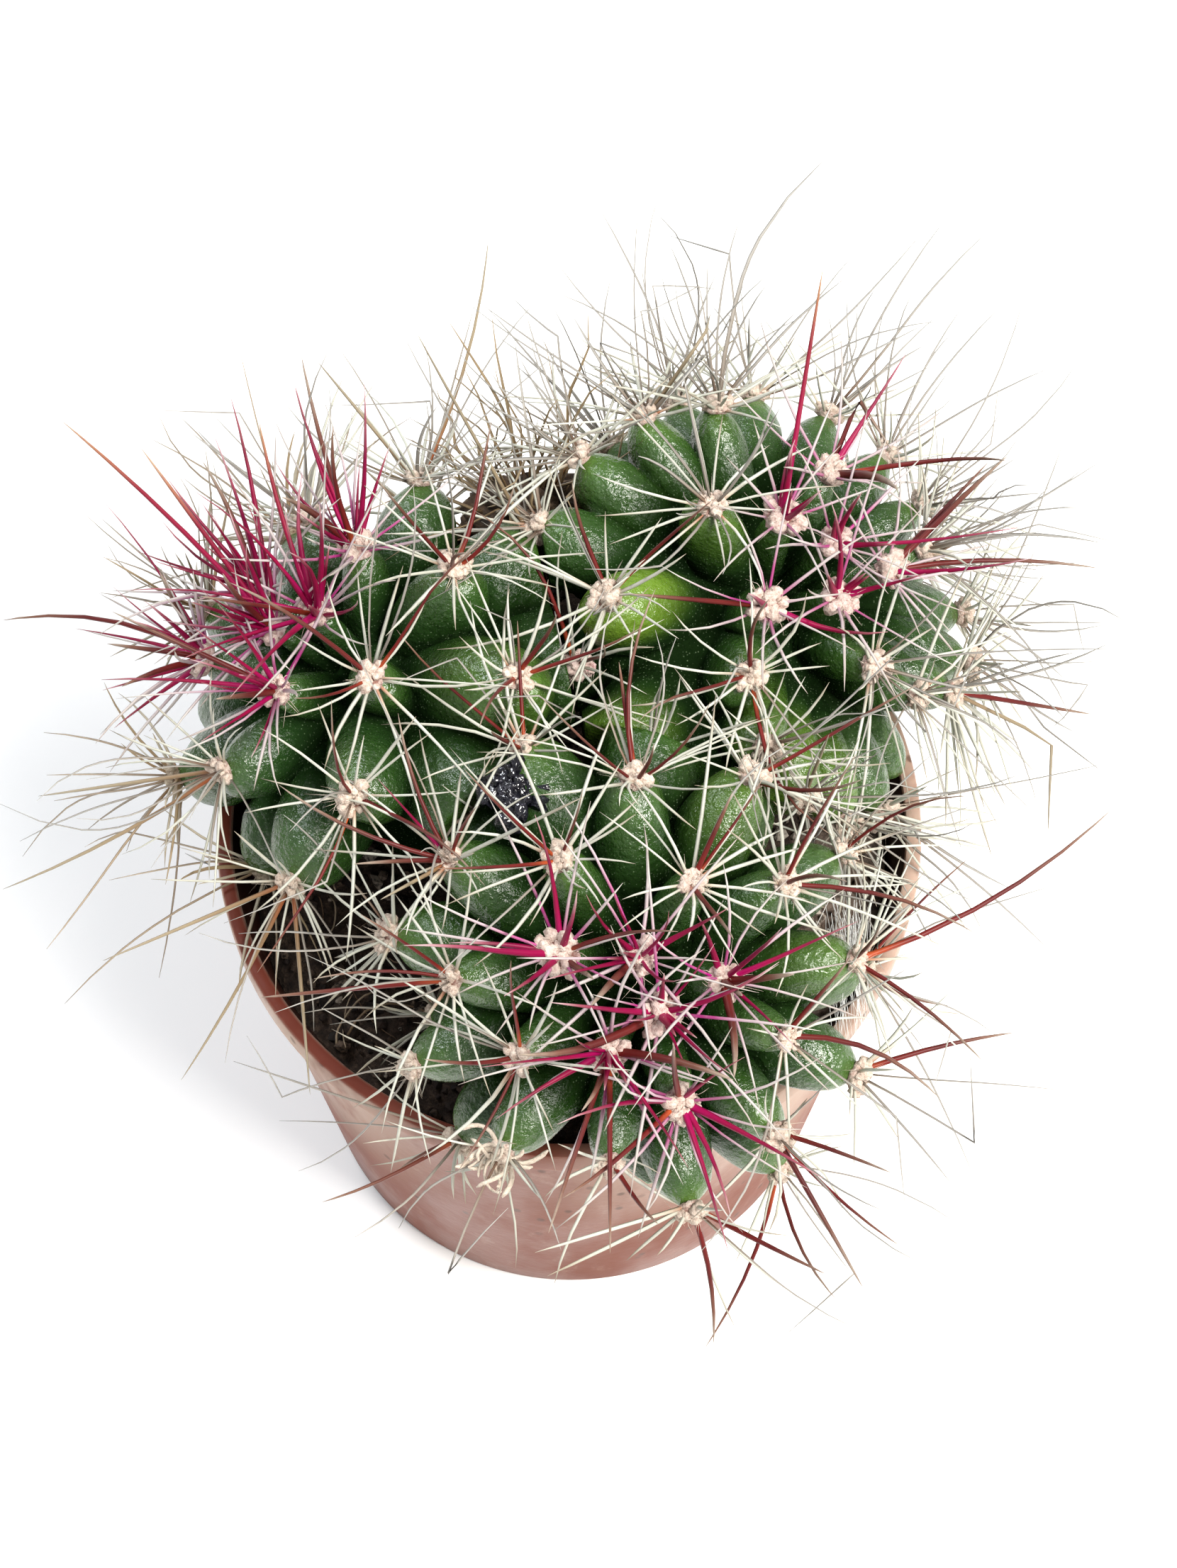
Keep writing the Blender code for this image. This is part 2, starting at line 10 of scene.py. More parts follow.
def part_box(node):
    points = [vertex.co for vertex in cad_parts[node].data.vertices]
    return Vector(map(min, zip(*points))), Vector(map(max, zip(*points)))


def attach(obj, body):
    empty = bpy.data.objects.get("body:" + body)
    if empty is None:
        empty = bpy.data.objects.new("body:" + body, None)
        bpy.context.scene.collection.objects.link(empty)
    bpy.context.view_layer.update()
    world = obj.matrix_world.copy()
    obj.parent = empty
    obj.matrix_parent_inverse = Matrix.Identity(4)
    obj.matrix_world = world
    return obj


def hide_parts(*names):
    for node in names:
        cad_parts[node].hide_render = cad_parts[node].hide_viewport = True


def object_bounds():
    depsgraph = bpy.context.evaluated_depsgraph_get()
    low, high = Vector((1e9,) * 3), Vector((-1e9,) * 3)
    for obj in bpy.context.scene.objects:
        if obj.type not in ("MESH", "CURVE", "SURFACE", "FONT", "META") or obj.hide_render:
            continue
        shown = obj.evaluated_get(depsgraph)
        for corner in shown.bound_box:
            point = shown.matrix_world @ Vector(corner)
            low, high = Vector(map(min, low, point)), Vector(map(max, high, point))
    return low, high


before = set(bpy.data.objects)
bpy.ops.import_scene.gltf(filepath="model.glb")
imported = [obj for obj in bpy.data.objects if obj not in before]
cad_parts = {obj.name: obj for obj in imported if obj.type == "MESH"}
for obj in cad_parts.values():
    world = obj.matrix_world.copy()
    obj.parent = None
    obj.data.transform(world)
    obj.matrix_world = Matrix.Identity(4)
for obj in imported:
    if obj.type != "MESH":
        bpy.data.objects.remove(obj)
cad_low, cad_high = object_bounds()
bpy.ops.object.select_all(action='DESELECT')

# Camera
# Held in front of the plant and well above it, looking down at the heads and the front of the pot.
CAMERA_OVER_HORIZON = math.radians(65.67)
CAMERA_DISTANCE = 0.42217
CAMERA_RIGHT = 0.00193
CAMERA_UP = 0.00396
SENSOR_WIDTH = 36
LENS = 97.65

pot_low, pot_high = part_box("pot")
towards_camera = Vector((0, -math.cos(CAMERA_OVER_HORIZON), math.sin(CAMERA_OVER_HORIZON)))
picture_up = Vector((0, math.sin(CAMERA_OVER_HORIZON), math.cos(CAMERA_OVER_HORIZON)))
camera_place = (towards_camera * CAMERA_DISTANCE + Vector((CAMERA_RIGHT, 0, pot_high.z))
                + picture_up * CAMERA_UP)
bpy.ops.object.camera_add(location=camera_place, rotation=(math.pi / 2 - CAMERA_OVER_HORIZON, 0, 0))
camera = bpy.context.object
camera.data.sensor_width = SENSOR_WIDTH
camera.data.lens = LENS
camera.data.clip_start = 0.01
bpy.context.scene.camera = camera
bpy.context.scene.view_settings.view_transform = 'Standard'

# Pot
# A thin injection-moulded nursery cup of pale terracotta plastic with a low collar and drain holes.
# Hard water has left a chalky film outside; the inside is brick red from wet-soil stain and painted shade.
# Painted shade also darkens the left of the outside wall and the left of the rim top.
POT_SIDES = 160
RIM_RADIUS = pot_high.x
POT_HEIGHT = pot_high.z
FOOT_RADIUS = 0.0275
WALL = 0.0011
COLLAR_HEIGHT = 0.0040
COLLAR_STEP = 0.0010
COLLAR_THICKNESS = 0.0016
EDGE_ROUND = 0.0004
FLOOR_THICKNESS = 0.0012
FLOOR_FILLET = 0.0020
FOOT_LIFT = 0.0008
FOOT_WIDTH = 0.0030
CENTRE_PAD_RADIUS = 0.0090
DRAIN_COUNT = 6
DRAIN_RADIUS = 0.0018
DRAIN_CIRCLE = 0.0170
PINK_PLASTIC = (0.175, 0.052, 0.030)
CHALKY_FILM = (0.204, 0.086, 0.058)
GREY_GRIME_AND_SHADE = (0.058, 0.026, 0.016)
LIME_HAZE = (0.47, 0.355, 0.285)
PALE_SCUFF = (0.33, 0.21, 0.165)
HAZE_GAP = -0.007
BRICK_STAIN_AND_SHADE = (0.135, 0.030, 0.018)
INNER_STAIN_AND_SHADE = (0.085, 0.024, 0.015)
WET_STAIN_AND_SHADE = (0.030, 0.010, 0.007)


def draw_out(name, sides, profile, close_tip=True):
    """A disc at the first radius and height, drawn out ring by ring through the rest of the profile."""
    radius, height = profile[0]
    bpy.ops.mesh.primitive_circle_add(vertices=sides, radius=radius, fill_type='NGON', location=(0, 0, 0))
    piece = bpy.context.object
    piece.name = name
    bpy.ops.object.mode_set(mode='EDIT')
    bpy.ops.mesh.select_mode(type='EDGE')
    bpy.ops.mesh.select_all(action='SELECT')
    bpy.ops.transform.translate(value=(0, 0, height))
    bpy.ops.mesh.region_to_loop()
    for next_radius, next_height in profile[1:]:
        bpy.ops.mesh.extrude_edges_move(TRANSFORM_OT_translate={"value": (0, 0, next_height - height)})
        share = next_radius / radius
        bpy.ops.transform.resize(value=(share, share, 1), center_override=(0, 0, next_height))
        radius, height = next_radius, next_height
    if close_tip:
        bpy.ops.mesh.edge_face_add()
    bpy.ops.mesh.select_all(action='SELECT')
    bpy.ops.mesh.normals_make_consistent(inside=False)
    bpy.ops.object.mode_set(mode='OBJECT')
    bpy.ops.object.select_all(action='DESELECT')
    return piece


def activate(piece):
    """Make one object the only selected and active one."""
    bpy.ops.object.select_all(action='DESELECT')
    piece.select_set(True)
    bpy.context.view_layer.objects.active = piece


def apply_modifiers(piece):
    """Apply all modifiers in order."""
    activate(piece)
    for modifier in list(piece.modifiers):
        bpy.ops.object.modifier_apply(modifier=modifier.name)


def outer_radius(height):
    """Outside of the pot's body below its collar."""
    return FOOT_RADIUS + (RIM_RADIUS - COLLAR_STEP - FOOT_RADIUS) * height / POT_HEIGHT


def inner_radius(height):
    """Inside of the pot's wall."""
    return outer_radius(height) - WALL


collar_foot = POT_HEIGHT - COLLAR_HEIGHT
floor_top = FOOT_LIFT + FLOOR_THICKNESS
collar_inside = RIM_RADIUS - COLLAR_THICKNESS
wall_heights = np.linspace(0.004, collar_foot - 2 * COLLAR_STEP, 8)
pot = draw_out("pot_shell", POT_SIDES, [
    (CENTRE_PAD_RADIUS, 0),
    (CENTRE_PAD_RADIUS + FOOT_LIFT, FOOT_LIFT),
    (FOOT_RADIUS - FOOT_WIDTH - FOOT_LIFT, FOOT_LIFT),
    (FOOT_RADIUS - FOOT_WIDTH, 0),
    (FOOT_RADIUS - EDGE_ROUND, 0),
    (outer_radius(EDGE_ROUND) - EDGE_ROUND / 4, EDGE_ROUND / 3),
    (outer_radius(EDGE_ROUND), EDGE_ROUND),
    *[(outer_radius(height), height) for height in wall_heights],
    (outer_radius(collar_foot - COLLAR_STEP), collar_foot - COLLAR_STEP),
    (RIM_RADIUS - EDGE_ROUND, collar_foot - EDGE_ROUND / 2),
    (RIM_RADIUS - EDGE_ROUND / 3, collar_foot),
    (RIM_RADIUS, POT_HEIGHT - EDGE_ROUND),
    (RIM_RADIUS - EDGE_ROUND / 3, POT_HEIGHT - EDGE_ROUND / 3),
    (RIM_RADIUS - EDGE_ROUND, POT_HEIGHT),
    (collar_inside + EDGE_ROUND, POT_HEIGHT),
    (collar_inside + EDGE_ROUND / 3, POT_HEIGHT - EDGE_ROUND / 3),
    (collar_inside, POT_HEIGHT - EDGE_ROUND),
    (inner_radius(collar_foot), collar_foot),
    (inner_radius(floor_top + FLOOR_FILLET), floor_top + FLOOR_FILLET),
    (inner_radius(floor_top) - FLOOR_FILLET, floor_top),
])
for index in range(DRAIN_COUNT):
    angle = 2 * math.pi * index / DRAIN_COUNT
    bpy.ops.mesh.primitive_cylinder_add(vertices=24, radius=DRAIN_RADIUS, depth=4 * FLOOR_THICKNESS,
                                        location=(DRAIN_CIRCLE * math.cos(angle),
                                                  DRAIN_CIRCLE * math.sin(angle), FLOOR_THICKNESS))
    drain = bpy.context.object
    drain_cut = pot.modifiers.new("drain", 'BOOLEAN')
    drain_cut.object = drain
    apply_modifiers(pot)
    bpy.data.objects.remove(drain)
activate(pot)
bpy.ops.object.shade_smooth_by_angle(angle=math.radians(35))


def shader_of(material):
    """The material's node tree and its Principled shader."""
    material.use_nodes = True
    return material.node_tree, material.node_tree.nodes["Principled BSDF"]


def add_node(tree, kind, inputs=None, **settings):
    """A node with its settings and input values; an input given a socket is linked to it."""
    node = tree.nodes.new(kind)
    for name, value in settings.items():
        setattr(node, name, value)
    for name, value in (inputs or {}).items():
        if isinstance(value, bpy.types.NodeSocket):
            tree.links.new(value, node.inputs[name])
        else:
            node.inputs[name].default_value = value
    return node


def noise_at(tree, scale, detail=3.0, roughness=0.5, stretch=(1, 1, 1)):
    """Fractal noise on Object coordinates, in cycles per metre."""
    place = add_node(tree, "ShaderNodeTexCoord").outputs["Object"]
    if stretch != (1, 1, 1):
        place = add_node(tree, "ShaderNodeMapping", {"Vector": place, "Scale": stretch}).outputs["Vector"]
    return add_node(tree, "ShaderNodeTexNoise", {"Vector": place, "Scale": scale, "Detail": detail,
                                                 "Roughness": roughness}).outputs["Fac"]


def between(tree, value, low, high):
    """Map a value from low..high to 0..1, held at the ends."""
    return add_node(tree, "ShaderNodeMapRange", {"Value": value, "From Min": low, "From Max": high},
                    interpolation_type='SMOOTHSTEP').outputs["Result"]


def mix(tree, share, first, second):
    """Blend two colours."""
    node = add_node(tree, "ShaderNodeMix", data_type='RGBA')
    for name, value in (("Factor_Float", share), ("A_Color", first), ("B_Color", second)):
        socket = next(s for s in node.inputs if s.identifier == name)
        if isinstance(value, bpy.types.NodeSocket):
            tree.links.new(value, socket)
        elif name == "Factor_Float":
            socket.default_value = value
        else:
            socket.default_value = (*value, 1)
    return next(s for s in node.outputs if s.identifier == "Result_Color")


def reckon(tree, operation, first, second=0.0):
    """Arithmetic on two values or sockets."""
    return add_node(tree, "ShaderNodeMath", {0: first, 1: second}, operation=operation,
                    use_clamp=operation == 'ADD').outputs["Value"]


def bump(tree, shader, height, distance, strength=1.0):
    """Fine relief on the shader's normal."""
    node = add_node(tree, "ShaderNodeBump", {"Height": height, "Distance": distance, "Strength": strength})
    tree.links.new(node.outputs["Normal"], shader.inputs["Normal"])


def plastic(name, base, film, grime_and_shade, film_scuff, film_haze):
    """Aged plastic: chalky drifts and haze, grimy blotches with painted shade towards the left, scuffs, dark
    specks, and a brick-red lip on the left that is part stain, part painted shade.
    """
    material = bpy.data.materials.new(name)
    tree, shader = shader_of(material)
    place = add_node(tree, "ShaderNodeSeparateXYZ",
                     {"Vector": add_node(tree, "ShaderNodeTexCoord").outputs["Object"]})
    drift = between(tree, noise_at(tree, 70, 4, 0.6, (1, 1, 0.45)), 0.36, 0.66)
    streak = between(tree, noise_at(tree, 260, 3, 0.6, (1, 1, 0.12)), 0.42, 0.72)
    chalk = reckon(tree, 'MULTIPLY', drift, between(tree, place.outputs["Z"], 0.012, 0.050))
    colour = mix(tree, reckon(tree, 'MULTIPLY', chalk, 0.8), base, film)
    colour = mix(tree, reckon(tree, 'MULTIPLY', streak, 0.18), colour, film)
    # Painted shade: grimy blotches that thicken towards the left, the side away from the key light.
    shade = reckon(tree, 'MULTIPLY', between(tree, noise_at(tree, 110, 5, 0.6, (1, 1, 0.4)), 0.42, 0.8),
                   between(tree, place.outputs["X"], 0.004, -0.034))
    colour = mix(tree, reckon(tree, 'MULTIPLY', shade, 0.60), colour, grime_and_shade)
    scuff = between(tree, noise_at(tree, 240, 5, 0.68, (1, 1, 0.5)), 0.56, 0.74)
    colour = mix(tree, reckon(tree, 'MULTIPLY', scuff, 0.45), colour, film_scuff)
    aside = reckon(tree, 'ABSOLUTE', reckon(tree, 'SUBTRACT', place.outputs["X"], HAZE_GAP))
    haze = reckon(tree, 'MULTIPLY', between(tree, place.outputs["Z"], 0.018, 0.052),
                  between(tree, aside, 0.003, 0.018))
    haze = reckon(tree, 'MULTIPLY', haze, between(tree, noise_at(tree, 150, 4, 0.6, (1, 1, 0.4)), 0.20, 0.55))
    colour = mix(tree, reckon(tree, 'MULTIPLY', haze, 0.80), colour, film_haze)
    specks = add_node(tree, "ShaderNodeTexVoronoi",
                      {"Vector": add_node(tree, "ShaderNodeMapping",
                                          {"Vector": add_node(tree, "ShaderNodeTexCoord").outputs["Object"],
                                           "Scale": (1, 1, 0.6)}).outputs["Vector"],
                       "Scale": 380, "Randomness": 1.0})
    size = add_node(tree, "ShaderNodeSeparateColor", {"Color": specks.outputs["Color"]})
    rare = between(tree, size.outputs["Red"], 0.62, 0.90)
    dot = reckon(tree, 'MULTIPLY', rare, between(tree, specks.outputs["Distance"], 0.22, 0.10))
    colour = mix(tree, reckon(tree, 'MULTIPLY', dot, 0.65), colour, grime_and_shade)
    # The lip: brick red on the left of the rim top, part stain and part painted shade.
    lip = reckon(tree, 'MULTIPLY', between(tree, place.outputs["Z"], POT_HEIGHT - 0.0004, POT_HEIGHT),
                 between(tree, place.outputs["X"], 0.012, -0.020))
    colour = mix(tree, lip, colour, BRICK_STAIN_AND_SHADE)
    tree.links.new(colour, shader.inputs["Base Color"])
    roughness = add_node(tree, "ShaderNodeMapRange", {"Value": drift, "To Min": 0.36, "To Max": 0.62})
    tree.links.new(roughness.outputs["Result"], shader.inputs["Roughness"])
    shader.inputs["Specular IOR Level"].default_value = 0.14
    shader.inputs["Subsurface Weight"].default_value = 0.15
    shader.inputs["Subsurface Radius"].default_value = (0.0030, 0.0012, 0.0008)
    shader.inputs["Subsurface Scale"].default_value = 1.0
    bump(tree, shader, noise_at(tree, 900, 4, 0.6), 0.00006)
    return material


pot.data.materials.clear()
pot.data.materials.append(plastic("pot_outside", PINK_PLASTIC, CHALKY_FILM, GREY_GRIME_AND_SHADE, PALE_SCUFF, LIME_HAZE))
# The inside finish: wet-soil stain, darkened further as painted shade of the recess.
pot.data.materials.append(plastic("pot_inside", INNER_STAIN_AND_SHADE, WET_STAIN_AND_SHADE, WET_STAIN_AND_SHADE, INNER_STAIN_AND_SHADE, WET_STAIN_AND_SHADE))
for face in pot.data.polygons:
    outward = face.normal.x * face.center.x + face.normal.y * face.center.y
    below_lip = face.center.z < POT_HEIGHT - 2 * EDGE_ROUND
    inside = outward < 0 and face.center.xy.length > FOOT_RADIUS - WALL
    if below_lip and (inside or face.normal.z > 0.5):
        face.material_index = 1
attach(pot, "root")
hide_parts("pot")

# Soil
# Dark peaty potting mix with grit, filled to a little under the rim and shrunk from the wall.
# Crumbs, pale grains and dry root hairs lie loose on its top.
SOIL_SIDES = 120
SOIL_RINGS = 30
SOIL_LEVEL = 0.0545
SOIL_SLOPE = 0.045
SOIL_LUMPS = 0.0009
CRUMB_COUNT = 1500
CRUMB_SIZE = (0.00035, 0.00120)
STRAND_COUNT = 70
STRAND_LENGTH = (0.0030, 0.0110)
STRAND_RADIUS = 0.00009
GRAVEL_AND_LIGHT = (0.27, 0.205, 0.165)


def soil_surface(x, y):
    """Height of the soil's uneven top."""
    lumps = noise.fractal(Vector((x, y, 0)) * 260, 1.0, 2.0, 4)
    return SOIL_LEVEL + SOIL_SLOPE * x + SOIL_LUMPS * lumps


soil_low, soil_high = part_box("soil")
soil_edge = soil_high.x - 0.0002
soil = draw_out("soil_bed", SOIL_SIDES, [
    (inner_radius(soil_low.z) - FLOOR_FILLET - 0.0005, soil_low.z),
    (inner_radius(soil_low.z + FLOOR_FILLET) - 0.0005, soil_low.z + FLOOR_FILLET),
    *[(soil_edge * ring / SOIL_RINGS, SOIL_LEVEL) for ring in range(SOIL_RINGS, 0, -1)],
])
for vert in soil.data.vertices:
    if vert.co.z > SOIL_LEVEL - 0.0001:
        sink = 0.0012 * max(0, vert.co.xy.length / soil_edge - 0.9) / 0.1
        vert.co.z = soil_surface(vert.co.x, vert.co.y) - sink
activate(soil)
bpy.ops.object.shade_smooth()


def paint(mesh, name, values):
    """Store one number for each point of a mesh, for its material to read."""
    layer = mesh.attributes.get(name) or mesh.attributes.new(name, 'FLOAT', 'POINT')
    layer.data.foreach_set("value", np.asarray(values, np.float32))


def points_of(mesh):
    """Vertex places as an array."""
    places = np.empty(len(mesh.vertices) * 3, np.float32)
    mesh.vertices.foreach_get("co", places)
    return places.reshape(-1, 3).astype(float)


def copy_shaped(pattern, places, **paints):
    """A copy of a pattern with its own mesh, its points at new places and its paints filled in."""
    piece = pattern.copy()
    piece.data = pattern.data.copy()
    piece.data.vertices.foreach_set("co", np.asarray(places, np.float32).ravel())
    for name, values in paints.items():
        paint(piece.data, name, np.broadcast_to(values, len(places)))
    bpy.context.scene.collection.objects.link(piece)
    return piece


def join(pieces, name, material, smooth=True):
    """Join copies into one piece with one material."""
    bpy.ops.object.select_all(action='DESELECT')
    for piece in pieces:
        piece.select_set(True)
    bpy.context.view_layer.objects.active = pieces[0]
    if len(pieces) > 1:
        bpy.ops.object.join()
    whole = bpy.context.object
    whole.name = name
    whole.data.materials.clear()
    whole.data.materials.append(material)
    whole.data.polygons.foreach_set("use_smooth", [smooth] * len(whole.data.polygons))
    bpy.ops.object.select_all(action='DESELECT')
    return whole


def colour_ramp(tree, value, *stops):
    """Colours at positions along a value."""
    node = add_node(tree, "ShaderNodeValToRGB", {"Fac": value})
    elements = node.color_ramp.elements
    while len(elements) < len(stops):
        elements.new(0.5)
    for element, (position, colour) in zip(elements, stops):
        element.position = position
        element.color = (*colour, 1)
    return node.outputs["Color"]


def painted(tree, name):
    """A number painted on the mesh."""
    return add_node(tree, "ShaderNodeAttribute", attribute_name=name).outputs["Fac"]


def gravel_and_painted_light(tree):
    """How much pale gravel there is in the mix: some in patches on the right, which also carry painted light
    on soil in the rim's shadow.
    """
    place = add_node(tree, "ShaderNodeSeparateXYZ",
                     {"Vector": add_node(tree, "ShaderNodeTexCoord").outputs["Object"]})
    patches = between(tree, noise_at(tree, 420, 3, 0.6), 0.35, 0.60)
    share = reckon(tree, 'MULTIPLY', patches, between(tree, place.outputs["X"], 0.016, 0.026))
    return reckon(tree, 'MULTIPLY', share, 0.65)


peat = bpy.data.materials.new("peat")
peat_tree, peat_shader = shader_of(peat)
peat_grain = noise_at(peat_tree, 900, 5, 0.7)
peat_colour = colour_ramp(peat_tree, peat_grain, (0.30, (0.010, 0.006, 0.004)),
                          (0.52, (0.045, 0.027, 0.018)), (0.72, (0.14, 0.092, 0.062)))
peat_tree.links.new(mix(peat_tree, gravel_and_painted_light(peat_tree), peat_colour, GRAVEL_AND_LIGHT), peat_shader.inputs["Base Color"])
peat_shader.inputs["Roughness"].default_value = 0.92
bump(peat_tree, peat_shader, peat_grain, 0.0006)
soil.data.materials.clear()
soil.data.materials.append(peat)

soil_draw = np.random.default_rng(5)
bpy.ops.mesh.primitive_ico_sphere_add(subdivisions=1, radius=1, location=(0, 0, 0))
crumb = bpy.context.object
crumb_points = points_of(crumb.data)
crumbs = []
for _ in range(CRUMB_COUNT):
    reach = (soil_edge - 0.0012) * math.sqrt(soil_draw.uniform(0.05, 1))
    angle = soil_draw.uniform(0, 2 * math.pi)
    x, y = reach * math.cos(angle), reach * math.sin(angle)
    size = CRUMB_SIZE[0] + (CRUMB_SIZE[1] - CRUMB_SIZE[0]) * soil_draw.uniform() ** 2.5
    shape = crumb_points * soil_draw.uniform(0.55, 1.2, (len(crumb_points), 1))
    shape *= soil_draw.uniform(0.6, 1.1, 3)
    turn = np.array(Matrix.Rotation(soil_draw.uniform(0, 6.28), 3, Vector(soil_draw.normal(size=3))))
    place = np.array([x, y, soil_surface(x, y) + 0.3 * size])
    # Crumbs on the right are paler: partly pale grit, partly painted light on soil in the rim's shadow.
    tint = min(1, soil_draw.uniform() * (1.0 + 0.80 * (x > 0.018)))
    crumbs.append(copy_shaped(crumb, shape @ turn * size + place, tint=tint))
bpy.data.objects.remove(crumb)
crumb_finish = bpy.data.materials.new("crumbs")
crumb_tree, crumb_shader = shader_of(crumb_finish)
crumb_colour = colour_ramp(crumb_tree, painted(crumb_tree, "tint"), (0.0, (0.010, 0.006, 0.005)),
                           (0.45, (0.035, 0.020, 0.014)), (0.78, (0.10, 0.062, 0.040)),
                           (0.93, (0.26, 0.19, 0.14)), (1.0, (0.50, 0.44, 0.37)))
crumb_colour = mix(crumb_tree, between(crumb_tree, noise_at(crumb_tree, 2500, 2), 0.4, 0.7),
                   crumb_colour, (0.02, 0.012, 0.009))
crumb_tree.links.new(mix(crumb_tree, gravel_and_painted_light(crumb_tree), crumb_colour, GRAVEL_AND_LIGHT),
                     crumb_shader.inputs["Base Color"])
crumb_shader.inputs["Roughness"].default_value = 0.85
soil_crumbs = join(crumbs, "soil_crumbs", crumb_finish, smooth=False)

strand_pattern = draw_out("strand", 4, [(1, share) for share in np.linspace(0, 1, 9)])
strand_points = points_of(strand_pattern.data)


def tube_along(points, path, radius):
    """Places of a unit tube's points once its axis follows a path and its radius is scaled."""
    share = points[:, 2]
    step = 0.002
    centre = path(share)
    way = path(share + step) - path(share - step)
    way /= np.linalg.norm(way, axis=1)[:, None]
    whole = path(np.array([1.0])) - path(np.array([0.0]))
    helper = np.array([0.31, 0.17, 0.93]) if abs(whole[0, 2]) < 0.9 * np.linalg.norm(whole) else \
        np.array([0.93, 0.31, 0.17])
    side = np.cross(way, helper)
    side /= np.linalg.norm(side, axis=1)[:, None]
    other = np.cross(way, side)
    return centre + radius * (points[:, :1] * side + points[:, 1:2] * other)


strands = []
for _ in range(STRAND_COUNT):
    reach = (soil_edge - 0.003) * math.sqrt(soil_draw.uniform(0.3, 1))
    angle = soil_draw.uniform(0, 2 * math.pi)
    heading = soil_draw.uniform(0, 2 * math.pi)
    length = soil_draw.uniform(*STRAND_LENGTH)
    curl = soil_draw.uniform(-1.6, 1.6)
    start = np.array([reach * math.cos(angle), reach * math.sin(angle)])
    lift = soil_draw.uniform(0.0004, 0.0016)

    def strand_path(share):
        turn = heading + curl * share
        flat = start + length * (share - 0.5)[:, None] * np.stack([np.cos(turn), np.sin(turn)], axis=1)
        over = np.maximum(1, np.linalg.norm(flat, axis=1) / (soil_edge - 0.0008))
        flat = flat / over[:, None]
        height = np.array([SOIL_LEVEL + SOIL_SLOPE * x for x, _ in flat])
        return np.column_stack([flat, height + lift + 0.0006 * np.sin(7 * share + heading)])

    strands.append(copy_shaped(strand_pattern, tube_along(strand_points, strand_path,
                                                          STRAND_RADIUS * soil_draw.uniform(0.6, 1.6)),
                               tint=soil_draw.uniform()))
bpy.data.objects.remove(strand_pattern)
strand_finish = bpy.data.materials.new("dry_roots")
strand_tree, strand_shader = shader_of(strand_finish)
strand_tree.links.new(colour_ramp(strand_tree, painted(strand_tree, "tint"), (0, (0.10, 0.055, 0.03)),
                                  (0.6, (0.30, 0.20, 0.12)), (1, (0.55, 0.45, 0.33))),
                      strand_shader.inputs["Base Color"])
strand_shader.inputs["Roughness"].default_value = 0.7
soil_strands = join(strands, "soil_strands", strand_finish)
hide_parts("soil")
for piece in (soil, soil_crumbs, soil_strands):
    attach(piece, "root")

# Heads
# Three stems of firm green flesh. Each is a short dome of tubercles in a Fibonacci spiral, waxy and
# finely flecked, squeezed flat where it meets its neighbours, and rooted in the soil.
GAP = 0.0003
SKIN_DETAIL = 7
VALLEY_DEPTH = 0.37
TUBERCLE_SPREAD_DOWN = 1.25
TUBERCLE_SPREAD_UP = 0.95
TUBERCLE_SPREAD_SIDE = 0.92
TUBERCLE_TAPER = 0.36
TUBERCLE_FALL = 0.56
CREASE_SHARPNESS = 12.0
LOWEST_AREOLE = -0.50
MOST_AREOLES = 60
BASE_FADE_START = math.radians(30)
BASE_FADE_END = math.radians(80)
BASE_TUBERCLES = 0.30
CROWDED_FILL = 0.45
CROWDED_BULGE = 0.12
CROWDED_SIDE = (0.3, 1.0)
NECK_RADIUS = 0.0100
SOIL_SINK = 0.0012
RIM_CLEARANCE = 0.0002
SKIN_WRINKLE = 0.00016
SKIN_SWELL = 0.00035
CREASE_EXTRA = 0.0019
SEAM_DEPTH = 0.0013
SEAM_WIDTH = 0.20


class Leader(NamedTuple):
    """A long central spine: its areole's place, turn and lift in degrees, length, and bends."""
    place: int
    turn: float
    lift: float
    length: float
    bow: float
    curl: float = 0.0
    kind: str = "centrals"
    kink: float = 0.0


class Head(NamedTuple):
    """One stem: where it sits, how it leans, its areole spiral and its tubercles with painted sunlight.

    Its new spines lean along sweep, crowd of them to an areole, and the tubercles in swollen are
    that much wider.
    """
    name: str
    centre: tuple
    lean: tuple
    girth: float
    rise: float
    foot: tuple
    cap_share: float
    cap_power: float
    first_turn: float
    turn_step: float
    seed: int
    leaders: tuple
    bare: tuple
    sunny: dict
    sweep: tuple
    swollen: dict
    crowd: int


LEFT_LEADERS = (
    Leader(12, -30, 51, 0.0310, -0.04, 0, "goldens"), Leader(4, -70, 44, 0.0200, 0.02),
    Leader(12, -120, 45, 0.0159, 0, 0, "goldens"),
    Leader(0, 90, 45, 0.0287, -0.02, 0, "flames"), Leader(0, 103, 44, 0.0216, 0, 0, "flames"),
    Leader(1, -102, 46, 0.0192, 0.03, 0, "flames"),
    Leader(16, -9, 44, 0.0205, 0, 0, "goldens"), Leader(16, 45, 45, 0.0226, 0.02, 0, "goldens"),
    Leader(16, 102, 45, 0.0196, 0, 0, "goldens"),
    Leader(8, 48, 45, 0.0250, 0.03, 0, "goldens"), Leader(5, 29, 46, 0.0245, -0.08),
    Leader(8, 76, 45, 0.0186, 0, 0, "goldens"),
    Leader(3, 132, 46, 0.0175, 0), Leader(17, -163, 30, 0.0248, 0.03, 0, "goldens"),
)
